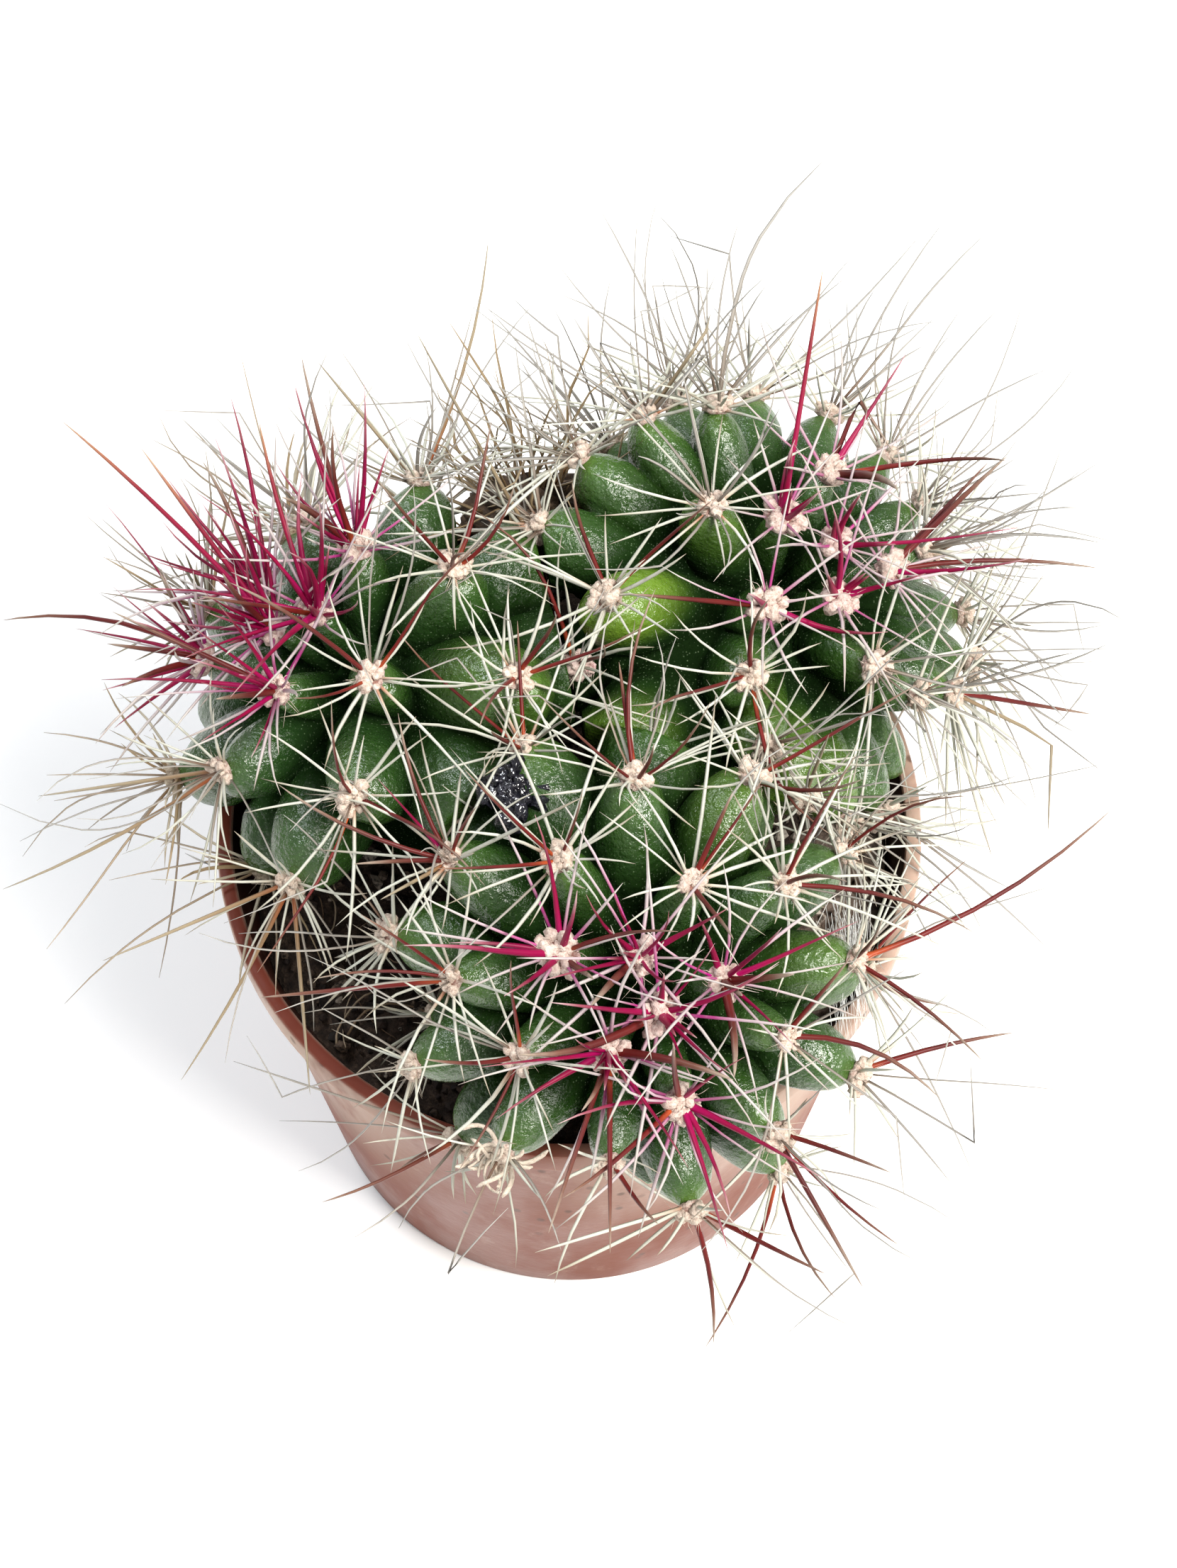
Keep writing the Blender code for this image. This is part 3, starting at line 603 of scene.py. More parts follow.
RIGHT_LEADERS = (
    Leader(15, 63, 46, 0.0280, 0.05, -0.50, "wisps"), Leader(2, 57, 45, 0.0242, 0, 0, "flames"),
    Leader(3, 1, 45, 0.0209, 0.05),
    Leader(16, -41, 46, 0.0172, 0), Leader(16, -23, 40, 0.0240, 0, 0, "goldens", -1.25),
    Leader(5, 136, 44, 0.0195, 0.25), Leader(5, 14, 38, 0.0150, 0, 0, "centrals", -2.16),
    Leader(20, 149, 40, 0.0185, 0, 0, "goldens", 1.75), Leader(20, 158, 34, 0.0160, 0, 0, "wisps", -2.4),
    Leader(3, -61, 39, 0.0149, 0), Leader(4, 38, 26, 0.0160, 0),
    Leader(19, 156, 25, 0.0150, 0, 0, "goldens"),
    Leader(16, -24, 15, 0.0188, 0, 0, "radials"), Leader(16, -16, 22, 0.0195, 0.02, 0, "radials"),
    Leader(16, -6, 14, 0.0215, 0, 0, "radials"), Leader(16, 9, 14, 0.0230, -0.02, 0, "radials"),
    Leader(16, 17, 20, 0.0147, 0, 0, "radials"), Leader(16, 30, 14, 0.0112, 0, 0, "radials"),
    Leader(16, 60, 14, 0.0135, 0, 0, "radials"),
)
FRONT_LEADERS = (
    Leader(16, -31, 45, 0.0286, -0.07), Leader(13, 20, 46, 0.0170, 0), Leader(18, 4, 46, 0.0146, 0.05),
    Leader(18, -103, 44, 0.0148, -0.05), Leader(12, -14, 44, 0.0178, 0), Leader(8, 6, 45, 0.0151, 0.12),
    Leader(21, -52, 44, 0.0160, 0.05), Leader(2, -16, 46, 0.0188, 0), Leader(2, -40, 44, 0.0196, 0),
    Leader(14, -8, 43, 0.0112, 0), Leader(6, 0, 47, 0.0096, 0),
    Leader(17, 142, 8, 0.0200, 0, 0, "radials"), Leader(17, 17, 42, 0.0105, 0, 0, "crimsons"),
    Leader(17, -111, 40, 0.0088, 0, 0, "goldens"), Leader(18, 129, 14, 0.0200, 0, 0, "radials"),
    Leader(18, 121, 20, 0.0180, 0.03, 0, "radials"),
)
HEADS = (
    Head("head_left", (-0.0188, 0.0096, 0.0723), (-34, 8), 0.0227, 0.0150, (-0.0138, 0.0072),
         0.007, 1.70, 214, 137.6, 11, LEFT_LEADERS, (), {14: 0.1}, (-0.10, 0.05, 0.10), {}, 10),
    Head("head_right", (0.0176, 0.0175, 0.0730), (28, -2), 0.0240, 0.0155, (0.0112, 0.0112),
         0.008, 1.415, 67, -140.6, 23, RIGHT_LEADERS, (10, 12, 22, 35),
         {17: 0.75, 27: 0.5, 19: 0.4, 14: 0.2, 7: 0.15, 24: 0.4}, (0.15, 0.0, 0.0),
         {17: 1.12, 7: 1.35, 4: 1.40, 9: 1.20, 2: 1.10}, 2),
    Head("head_front", (0.0062, -0.0214, 0.0740), (3, -28), 0.0232, 0.0172, (0.0043, -0.0150),
         0.008, 1.49, 321, 138.0, 37, FRONT_LEADERS, (23,), {16: 0.15, 19: 0.2}, (0.0, 0.0, 0.0), {}, 7),
)


def smooth_step(value, low, high):
    """Rise smoothly from 0 at low to 1 at high."""
    share = np.clip((value - low) / (high - low), 0, 1)
    return share * share * (3 - 2 * share)


def head_axes(head):
    """The head's own frame as rows: two sideways directions and the growing axis."""
    across = [math.sin(math.radians(angle)) for angle in head.lean]
    axis = Vector((*across, math.sqrt(1 - across[0] ** 2 - across[1] ** 2)))
    side = Vector((0, 1, 0)).cross(axis).normalized()
    return np.array([side, axis.cross(side), axis])


def head_areoles(head):
    """Areole rays, their size as an angle, and the ways down and along the girth at each."""
    places = np.arange(MOST_AREOLES) + 0.5
    height = 1 - head.cap_share * places ** head.cap_power
    places = places[height > LOWEST_AREOLE]
    height = height[height > LOWEST_AREOLE]
    turn = np.radians(head.first_turn + (places - 0.5) * head.turn_step)
    round_about = np.stack([np.cos(turn), np.sin(turn)], axis=1)
    width = np.sqrt(1 - height ** 2)[:, None]
    spots = np.column_stack([head.girth * width * round_about, head.rise * height])
    rays = spots / np.linalg.norm(spots, axis=1)[:, None]
    down = np.column_stack([height[:, None] * round_about, -width])
    down -= rays * (down * rays).sum(axis=1)[:, None]
    down /= np.linalg.norm(down, axis=1)[:, None]
    size = np.sqrt(2 * head.cap_share * head.cap_power * places ** (head.cap_power - 1))
    for place, factor in head.swollen.items():
        size[place] *= factor
    axes = head_axes(head)
    return rays @ axes, size, down @ axes, np.cross(down, rays) @ axes


def tubercle_bumps(head, rays):
    """Height of each tubercle by itself along each ray."""
    areoles, size, down, along = head_areoles(head)
    offset = rays[:, None, :] - areoles[None]
    fall = (offset * down).sum(axis=2)
    spread = np.where(fall > 0, TUBERCLE_SPREAD_DOWN, TUBERCLE_SPREAD_UP)
    girth = (offset * along).sum(axis=2) / TUBERCLE_SPREAD_SIDE
    distance = np.sqrt((fall / spread) ** 2 + girth ** 2) / size
    facing = (rays @ areoles.T) > 0
    bumps = np.clip(1 - TUBERCLE_TAPER * distance - TUBERCLE_FALL * distance ** 2, 0, 1) * facing
    bumps[:, list(head.bare)] = 0
    return bumps


def tubercle_height(head, rays):
    """Height of the tubercles together, from 0 in a deep valley to 1 at an areole."""
    return np.log(1 + np.expm1(CREASE_SHARPNESS * tubercle_bumps(head, rays)).sum(axis=1)) / CREASE_SHARPNESS


def neighbour_limit(head, rays):
    """Distance along each ray to the planes where this head presses against the others."""
    limit = np.full(len(rays), np.inf)
    centre = np.array(head.centre)
    for other in HEADS:
        if other is head:
            continue
        away = np.array(other.centre) - centre
        spacing = np.linalg.norm(away)
        share = head.girth / (head.girth + other.girth)
        facing = rays @ away / spacing
        reach = (share * spacing - GAP) / np.maximum(facing, 1e-6)
        limit = np.where(facing > 0, np.minimum(limit, reach), limit)
    return limit


def pot_limit(head, rays):
    """Distance along each ray to the rim of the pot or the soil."""
    x, y, z = head.centre
    falling = np.minimum(rays[:, 2], -1e-9)
    to_rim_level = (POT_HEIGHT + RIM_CLEARANCE - z) / falling
    to_soil_level = (SOIL_LEVEL - SOIL_SINK - z) / falling
    flat = rays[:, :2]
    speed = np.maximum((flat ** 2).sum(axis=1), 1e-12)
    drift = flat @ np.array([x, y])
    inside = inner_radius(SOIL_LEVEL) - RIM_CLEARANCE
    to_wall = (np.sqrt(drift ** 2 + speed * (inside ** 2 - x ** 2 - y ** 2)) - drift) / speed
    limit = np.minimum(np.maximum(to_rim_level, to_wall), to_soil_level)
    return np.where(rays[:, 2] < 0, limit, np.inf)


def dome(head, rays):
    """Distance to the smooth dome that the tubercles stand on."""
    rise = rays @ head_axes(head)[2]
    return 1 / np.sqrt((1 - rise ** 2) / head.girth ** 2 + rise ** 2 / head.rise ** 2)


def skin_radius(head, rays):
    """Distance from the head's centre to its skin along unit rays."""
    foot = np.array([*head.foot, SOIL_LEVEL]) - np.array(head.centre)
    sink = np.clip(rays @ foot / np.linalg.norm(foot), -1, 1)
    lean = np.arccos(sink)
    relief = BASE_TUBERCLES + (1 - BASE_TUBERCLES) * smooth_step(lean, BASE_FADE_START, BASE_FADE_END)
    inward = -np.array([*head.centre[:2], 0]) / math.hypot(*head.centre[:2])
    crowd = smooth_step(rays @ inward, *CROWDED_SIDE)
    depth = VALLEY_DEPTH * (1 - CROWDED_FILL * crowd)
    full = dome(head, rays) * (1 + CROWDED_BULGE * crowd)
    body = full * (1 - depth * (1 - relief * tubercle_height(head, rays)))
    neck = np.where(sink > 0, NECK_RADIUS / np.maximum(np.sin(lean), 1e-6), 0)
    free = np.maximum(body, neck)
    return np.minimum(np.minimum(free, neighbour_limit(head, rays)), pot_limit(head, rays))


def flesh_material():
    """Waxy green skin with painted shade in the creases and on the left, painted sunlight on some tubercles,
    paler with bloom low on the right, finely flecked.
    """
    material = bpy.data.materials.new("cactus_flesh")
    tree, shader = shader_of(material)
    relief, tone_and_shade = painted(tree, "relief"), painted(tree, "tone_and_shade")
    bloom, sunny = painted(tree, "bloom"), painted(tree, "sunny")
    mottle = noise_at(tree, 260, 4, 0.6)
    height = reckon(tree, 'ADD', relief, reckon(tree, 'MULTIPLY', reckon(tree, 'SUBTRACT', mottle, 0.5), 0.35))
    # Painted shade: the colour runs from near black in the valleys to light green on the tubercle tops.
    colour = colour_ramp(tree, height, (0.22, (0.0035, 0.008, 0.002)), (0.48, (0.013, 0.037, 0.006)),
                         (0.72, (0.029, 0.076, 0.010)), (0.95, (0.062, 0.132, 0.018)))
    # Each tubercle's own green, darkened further on the left of the plant as painted shade.
    colour = mix(tree, reckon(tree, 'MULTIPLY', tone_and_shade, 0.40), colour, (0.016, 0.046, 0.012))
    # Painted sunlight: chosen tubercles turned bright yellow-green.
    colour = mix(tree, reckon(tree, 'MULTIPLY', sunny, 0.85), colour, (0.170, 0.290, 0.022))
    dusty = reckon(tree, 'MULTIPLY', bloom, between(tree, noise_at(tree, 420, 4, 0.65), 0.30, 0.66))
    colour = mix(tree, reckon(tree, 'MULTIPLY', dusty, 0.75), colour, (0.170, 0.270, 0.108))
    place = add_node(tree, "ShaderNodeTexCoord").outputs["Object"]
    cells = add_node(tree, "ShaderNodeTexVoronoi", {"Vector": place, "Scale": 3600, "Randomness": 1.0})
    chance = add_node(tree, "ShaderNodeSeparateColor", {"Color": cells.outputs["Color"]})
    fleck = reckon(tree, 'MULTIPLY', between(tree, cells.outputs["Distance"], 0.36, 0.10),
                   between(tree, chance.outputs["Red"], 0.30, 1.0))
    colour = mix(tree, reckon(tree, 'MULTIPLY', fleck, 0.36), colour, (0.28, 0.40, 0.22))
    tree.links.new(colour, shader.inputs["Base Color"])
    wax = between(tree, noise_at(tree, 600, 3, 0.6), 0.35, 0.70)
    gloss = add_node(tree, "ShaderNodeMapRange", {"Value": wax, "To Min": 0.13, "To Max": 0.36})
    tree.links.new(gloss.outputs["Result"], shader.inputs["Roughness"])
    shine = reckon(tree, 'MULTIPLY', between(tree, relief, 0.30, 0.75), painted(tree, "shine"))
    tree.links.new(shine, shader.inputs["Specular IOR Level"])
    shader.inputs["Subsurface Weight"].default_value = 0.12
    shader.inputs["Subsurface Radius"].default_value = (0.0010, 0.0022, 0.0005)
    shader.inputs["Subsurface Scale"].default_value = 1.0
    pebble = reckon(tree, 'ADD', reckon(tree, 'MULTIPLY', noise_at(tree, 1500, 3, 0.6), 0.55),
                    reckon(tree, 'MULTIPLY', noise_at(tree, 520, 3, 0.5), 0.45))
    bump(tree, shader, pebble, 0.00050)
    return material


flesh = flesh_material()
for head in HEADS:
    bpy.ops.mesh.primitive_ico_sphere_add(subdivisions=SKIN_DETAIL, radius=1, location=(0, 0, 0))
    skin = bpy.context.object
    skin.name = "skin_" + head.name
    rays = points_of(skin.data)
    rays /= np.linalg.norm(rays, axis=1)[:, None]
    bumps = tubercle_bumps(head, rays)
    raised = tubercle_height(head, rays)
    radius = skin_radius(head, rays)
    free = radius < neighbour_limit(head, rays) - 0.0002
    wrinkle = np.array([noise.fractal(Vector(ray) * 11, 1.0, 2.0, 3) for ray in rays])
    swell = np.array([noise.noise(Vector(ray) * 5.5) for ray in rays])
    highest = np.sort(bumps, axis=1)
    seam = 1 - smooth_step(highest[:, -1] - highest[:, -2], 0, SEAM_WIDTH)
    crease = CREASE_EXTRA * (1 - smooth_step(raised, 0.25, 0.85)) + SEAM_DEPTH * seam
    radius = radius + free * (SKIN_WRINKLE * wrinkle * (0.4 + 0.6 * raised) + SKIN_SWELL * swell - crease)
    places = np.array(head.centre) + rays * radius[:, None]
    skin.data.vertices.foreach_set("co", places.ravel())
    skin.data.update()
    share = np.exp(9 * bumps)
    share /= share.sum(axis=1)[:, None]
    draw = np.random.default_rng(head.seed)
    tones = draw.uniform(0, 1, share.shape[1])
    sunlit = np.zeros(share.shape[1])
    # Painted sunlight on the tubercles listed in sunny.
    for place, strength in head.sunny.items():
        sunlit[place] = strength
    rise = rays @ head_axes(head)[2]
    # The relief that the finish reads, lowered along the seams so that they get painted shade.
    paint(skin.data, "relief", raised - 0.22 * seam)
    # A random green for each tubercle, plus painted shade towards the left of the plant.
    paint(skin.data, "tone_and_shade", share @ tones + 0.55 * smooth_step(-places[:, 0], 0.006, 0.026))
    paint(skin.data, "sunny", (share @ sunlit) * smooth_step(raised, 0.25, 0.7))
    paint(skin.data, "shine", 0.80 - 0.60 * smooth_step(-rise, -0.30, 0.40))
    dusty = 0.08 + 0.85 * smooth_step(places[:, 0], 0.004, 0.026)
    flank = smooth_step(places[:, 0], 0.018, 0.028) * smooth_step(-places[:, 2], -0.077, -0.068)
    dusty *= smooth_step(-rise, -0.45, 0.35) * np.maximum(smooth_step(raised, 0.2, 0.9), flank)
    paint(skin.data, "bloom", dusty)
    skin.data.materials.append(flesh)
    activate(skin)
    bpy.ops.object.shade_smooth()
    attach(skin, "root")
    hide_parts(head.name)

# Areoles
# A felted cushion of cream wool on the tip of every tubercle, lumpy like popcorn and open in the
# middle where the spines come out; pinker where it is new, tan where it is old.
PAD_RADIUS = 0.00170
PAD_HEIGHT = 0.00085
PAD_PATTERNS = 4
PAD_LUMPS = 16
PAD_HAIRS = 26
PAD_HAIR_LENGTH = (0.0006, 0.0014)
PAD_HAIR_RADIUS = 0.00004
AREOLE_TURN_UP = 0.22
SQUEEZED = 0.88
STRAY_NUMBER = 9
STRAY_PLACE = (0.0012, 0.0079, 0.0816)
STRAY_TURN = (0, 0, 0.8)
STRAY_SIZE = 0.85
STRAY_LAYERS = (-0.0008, 0.0004, 0.0015)

pad_draw = np.random.default_rng(3)
pad_patterns = []
hair_pattern = draw_out("hair", 3, [(1.0, 0.0), (0.8, 0.5), (0.15, 1.0)])
hair_points = points_of(hair_pattern.data)


def fluffy(piece, frequency, depth, offset):
    """Roughen a unit ball with fractal noise."""
    shape = points_of(piece.data)
    lumps = np.array([noise.fractal(Vector(place) * frequency + Vector((offset, 0, 0)), 0.8, 2.1, 4)
                      for place in shape])
    return shape * (1 + depth * lumps)[:, None]


for number in range(PAD_PATTERNS):
    bpy.ops.mesh.primitive_ico_sphere_add(subdivisions=3, radius=1, location=(0, 0, 0))
    pad = bpy.context.object
    shape = fluffy(pad, 2.6, 0.25, number * 9)
    pad.data.vertices.foreach_set(
        "co", (shape * [0.78 * PAD_RADIUS, 0.78 * PAD_RADIUS, 0.75 * PAD_HEIGHT]).ravel())
    paint(pad.data, "hair", np.zeros(len(shape)))
    paint(pad.data, "heart", smooth_step(shape[:, 2], 0.2, 0.9))
    tuft = [pad]
    bpy.ops.mesh.primitive_ico_sphere_add(subdivisions=2, radius=1, location=(0, 0, 0))
    lump = bpy.context.object
    for index in range(PAD_LUMPS):
        shape = fluffy(lump, 1.7, 0.45, number * 31 + index * 5)
        turn = 2 * math.pi * (index * 0.618 + pad_draw.uniform(-0.1, 0.1))
        out = PAD_RADIUS * math.sqrt((index + 1) / PAD_LUMPS) * pad_draw.uniform(0.62, 0.90)
        size = PAD_RADIUS * pad_draw.uniform(0.20, 0.38)
        rise = pad_draw.uniform(0.45, 1.0) * (1 - 0.45 * (out / PAD_RADIUS) ** 2)
        place = [out * math.cos(turn), out * math.sin(turn), PAD_HEIGHT * rise]
        tuft.append(copy_shaped(lump, shape * size + place, hair=0.5, heart=0.0))
    bpy.data.objects.remove(lump)
    for _ in range(PAD_HAIRS):
        turn, lift = pad_draw.uniform(0, 2 * math.pi), math.radians(pad_draw.uniform(5, 85))
        way = np.array([math.cos(turn) * math.cos(lift), math.sin(turn) * math.cos(lift), math.sin(lift)])
        root = way * [PAD_RADIUS, PAD_RADIUS, PAD_HEIGHT] * 0.75
        length = pad_draw.uniform(*PAD_HAIR_LENGTH)
        curl = pad_draw.normal(0, 0.5, 3)

        def hair_path(share):
            return root + length * (share[:, None] * way + share[:, None] ** 2 * curl)

        tuft.append(copy_shaped(hair_pattern, tube_along(hair_points, hair_path, PAD_HAIR_RADIUS),
                                hair=1.0, heart=0.0))
    pad_patterns.append(join(tuft, f"pad_pattern_{number}", flesh))


def wool_material():
    """Felted wool: cream with a brownish pink heart, pinker when new and tan when old."""
    material = bpy.data.materials.new("areole_wool")
    tree, shader = shader_of(material)
    fibre = noise_at(tree, 2600, 4, 0.7)
    old = colour_ramp(tree, fibre, (0.30, (0.24, 0.13, 0.10)), (0.46, (0.52, 0.38, 0.32)),
                      (0.64, (0.73, 0.63, 0.55)))
    new = colour_ramp(tree, fibre, (0.30, (0.28, 0.10, 0.11)), (0.46, (0.55, 0.35, 0.35)),
                      (0.64, (0.74, 0.61, 0.58)))
    dry = colour_ramp(tree, fibre, (0.30, (0.10, 0.060, 0.035)), (0.50, (0.28, 0.20, 0.125)),
                      (0.70, (0.50, 0.42, 0.31)))
    colour = mix(tree, painted(tree, "newness"), old, new)
    colour = mix(tree, painted(tree, "dryness"), colour, dry)
    colour = mix(tree, reckon(tree, 'MULTIPLY', painted(tree, "heart"), 0.8), colour, (0.17, 0.050, 0.030))
    colour = mix(tree, reckon(tree, 'MULTIPLY', painted(tree, "hair"), 0.60), colour, (0.74, 0.66, 0.53))
    tree.links.new(colour, shader.inputs["Base Color"])
    shader.inputs["Roughness"].default_value = 0.95
    shader.inputs["Specular IOR Level"].default_value = 0.12
    bump(tree, shader, fibre, 0.0003)
    return material


def areole_frames(head):
    """For each areole in the open: its place, root, outward normal, and the ways down and across."""
    areoles, _, down, _ = head_areoles(head)
    reach = skin_radius(head, areoles)
    axis = head_axes(head)[2]
    open_places = np.setdiff1d(np.flatnonzero(reach > SQUEEZED * dome(head, areoles)), head.bare)
    for place in open_places:
        ray = areoles[place]
        normal = ray + AREOLE_TURN_UP * axis
        normal /= np.linalg.norm(normal)
        fall = down[place] - normal * (down[place] @ normal)
        fall /= np.linalg.norm(fall)
        yield place, np.array(head.centre) + ray * reach[place], normal, fall, np.cross(fall, normal)


def stray_areole():
    """The small areole of head_right that is squeezed into the seam beside head_left."""
    head = HEADS[1]
    ray = np.array(STRAY_PLACE) - np.array(head.centre)
    ray /= np.linalg.norm(ray)
    root = np.array(head.centre) + ray * skin_radius(head, ray[None])[0]
    normal = ray + np.array(STRAY_TURN)
    normal /= np.linalg.norm(normal)
    fall = np.cross(normal, [1, 0, 0])
    fall /= np.linalg.norm(fall)
    return STRAY_NUMBER, root + STRAY_LAYERS[-1] * normal, normal, fall, np.cross(fall, normal)


def newness(place):
    """1 at the growing tip, falling to 0 by the eighth areole."""
    return float(np.clip(1 - place / 8, 0, 1))


def dryness(head, root):
    """1 on the old wool low on the left of the plant, 0 elsewhere."""
    low = smooth_step(0.073 - root[2], -0.004, 0.008)
    left = smooth_step(-root[0], 0.004, 0.026)
    return float(low * left)


def set_pad(draw, root, normal, fall, cross, size, **paints):
    """A turned copy of one of the cushions on an areole."""
    pattern = pad_patterns[draw.integers(PAD_PATTERNS)]
    spin = draw.uniform(0, 2 * math.pi)
    u = math.cos(spin) * fall + math.sin(spin) * cross
    v = np.cross(normal, u)
    shape = points_of(pattern.data) * size * [1, draw.uniform(0.85, 1.1), draw.uniform(0.9, 1.2)]
    places = root - normal * 0.0001 + shape[:, :1] * u + shape[:, 1:2] * v + shape[:, 2:] * normal
    return copy_shaped(pattern, places, **paints)


wool = wool_material()
for head in HEADS:
    pads = []
    draw = np.random.default_rng(head.seed + 100)
    for place, root, normal, fall, cross in areole_frames(head):
        size = draw.uniform(0.92, 1.12) * (1.18 if place < 6 else 1.0)
        pads.append(set_pad(draw, root, normal, fall, cross, size,
                            newness=newness(place), dryness=dryness(head, root)))
    if head is HEADS[1]:
        _, top, normal, fall, cross = stray_areole()
        for lift in STRAY_LAYERS:
            root = top + (lift - STRAY_LAYERS[-1]) * normal
            pads.append(set_pad(draw, root, normal, fall, cross, STRAY_SIZE, newness=0.8, dryness=0.0))
    whole = join(pads, "areoles_" + head.name, wool)
    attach(whole, "root")

# Spines
# Stiff tapered needles in a star round each areole: white radials, maroon centrals with rusty foot
# and grey tip, and thick crimson ones at each growing tip. Old ones go tan; the back is all wisps.
RADIAL_PROFILE = [(1.3, 0.0), (1.0, 0.06), (0.97, 0.35), (0.88, 0.60), (0.64, 0.83), (0.08, 1.0)]
CENTRAL_PROFILE = [(1.9, 0.0), (1.5, 0.03), (1.06, 0.08), (1.0, 0.24), (0.92, 0.44), (0.80, 0.62),
                   (0.62, 0.79), (0.36, 0.93), (0.07, 1.0)]
YOUNG_PROFILE = [(1.0, 0.0), (0.96, 0.07), (0.80, 0.22), (0.62, 0.42), (0.44, 0.62), (0.26, 0.84),
                 (0.05, 1.0)]
WISP_PROFILE = [(1.0, 0.0), (0.97, 0.20), (0.91, 0.40), (0.86, 0.52), (0.82, 0.60), (0.76, 0.68),
                (0.56, 0.85), (0.15, 1.0)]
YOUNG_AREOLES = 6
CENTRAL_LENGTH = (0.0100, 0.0190)
CENTRAL_LIFT = (28, 72)
YOUNG_LENGTH = (0.0080, 0.0180)
YOUNG_LIFT = (28, 78)
BEND_STEP = 0.20
BEND_TRIES = 5
ESCAPE_RISE = 0.6
SPINE_CLEARANCE = 0.0004
SPINE_EXIT = 0.0030
SPINE_ROOT_DEPTH = 0.0004
KINK_START = 0.60
SKIN_REACH = 1.3

PATTERNS = {}
for kind, sides, profile in (("radials", 4, RADIAL_PROFILE), ("blushes", 4, RADIAL_PROFILE),
                             ("centrals", 6, CENTRAL_PROFILE), ("goldens", 6, CENTRAL_PROFILE),
                             ("crimsons", 6, YOUNG_PROFILE), ("flames", 6, CENTRAL_PROFILE),
                             ("wisps", 3, WISP_PROFILE)):
    PATTERNS[kind] = draw_out(kind + "_pattern", sides, profile)


def clear_of_skin(head, places):
    """Whether places lie outside a head's skin."""
    offset = places - np.array(head.centre)
    distance = np.linalg.norm(offset, axis=1)
    near = distance < SKIN_REACH * head.girth
    if not near.any():
        return True
    rays = offset[near] / distance[near, None]
    return (distance[near] - skin_radius(head, rays) > SPINE_CLEARANCE).all()


def clear_of_pot(places):
    """Whether places lie clear of the pot and the soil."""
    radius = np.linalg.norm(places[:, :2], axis=1)
    height = places[:, 2]
    over_rim = height > POT_HEIGHT + SPINE_CLEARANCE
    beside = (radius > RIM_RADIUS + SPINE_CLEARANCE) & (height > 0.004)
    within = radius < inner_radius(SOIL_LEVEL) - SPINE_CLEARANCE
    over_soil = height > SOIL_LEVEL + 0.002
    return (over_rim | beside | within & over_soil).all()


def spine_path(root, normal, out, length, bow, arch, curl, kink):
    """Path of a spine: bowed aside and arched off the flesh, its end curled or sharply bent aside."""
    side = np.cross(normal, out)
    side /= np.linalg.norm(side)
    rise = np.cross(out, side)
    start = root - normal * SPINE_ROOT_DEPTH

    def path(share):
        share = share[:, None]
        tail = np.clip(share - 0.5, 0, 1) ** 2
        fold = np.clip(share - KINK_START, 0, 1)
        along = share - (1 - math.cos(kink)) * fold
        aside = 4 * share * (1 - share) * bow + tail * curl + fold * math.sin(kink)
        return start + length * (along * out + aside * side + 4 * share * (1 - share) * arch * rise)

    return path


def inside_box(places):
    """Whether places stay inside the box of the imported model."""
    return bool((places > np.array(cad_low) - 0.0015).all() and (places < np.array(cad_high) + 0.0015).all())


def grown_spine(head, root, normal, way, length, bow, arch, curl, kink):
    """The spine's path, turned outwards step by step until it clears flesh, pot and soil."""
    escape = normal + np.array([0, 0, ESCAPE_RISE])
    shares = np.linspace(0.02, 1, 22)
    for attempt in range(BEND_TRIES):
        out = way + attempt * BEND_STEP * escape
        out /= np.linalg.norm(out)
        path = spine_path(root, normal, out, length, bow, arch, curl, kink)
        places = path(shares)
        outer = places[shares * length > SPINE_EXIT]
        clear = clear_of_pot(outer) and all(clear_of_skin(other, outer if other is head else places)
                                            for other in HEADS)
        if clear and inside_box(places):
            return path
    return None


def direction(turn, lift, normal, fall, cross):
    """Unit vector at a turn round the areole and a lift from its plane, in degrees."""
    turn, lift = math.radians(turn), math.radians(lift)
    return math.cos(lift) * (math.cos(turn) * fall + math.sin(turn) * cross) + math.sin(lift) * normal


def spine_material(name, *stops, fleck, gloss=0.40):
    """Horny spine whose colour runs from foot to tip, drier on old areoles."""
    material = bpy.data.materials.new(name)
    tree, shader = shader_of(material)
    along, tint = painted(tree, "along"), painted(tree, "tint")
    drift = reckon(tree, 'ADD', along, reckon(tree, 'MULTIPLY', reckon(tree, 'SUBTRACT', tint, 0.5), 0.30))
    foot = between(tree, along, 0.02, 0.09)
    colour = mix(tree, foot, stops[0][1], colour_ramp(tree, drift, *stops))
    colour = mix(tree, reckon(tree, 'MULTIPLY', painted(tree, "dryness"), 0.60), colour, (0.30, 0.20, 0.10))
    streak = between(tree, noise_at(tree, 1500, 2, 0.5), 0.45, 0.75)
    colour = mix(tree, reckon(tree, 'MULTIPLY', streak, 0.25), colour, fleck)
    colour = mix(tree, reckon(tree, 'MULTIPLY', painted(tree, "tint"), 0.45), colour, fleck)
    tree.links.new(colour, shader.inputs["Base Color"])
    shader.inputs["Roughness"].default_value = gloss
    shader.inputs["Specular IOR Level"].default_value = 0.2
    return material


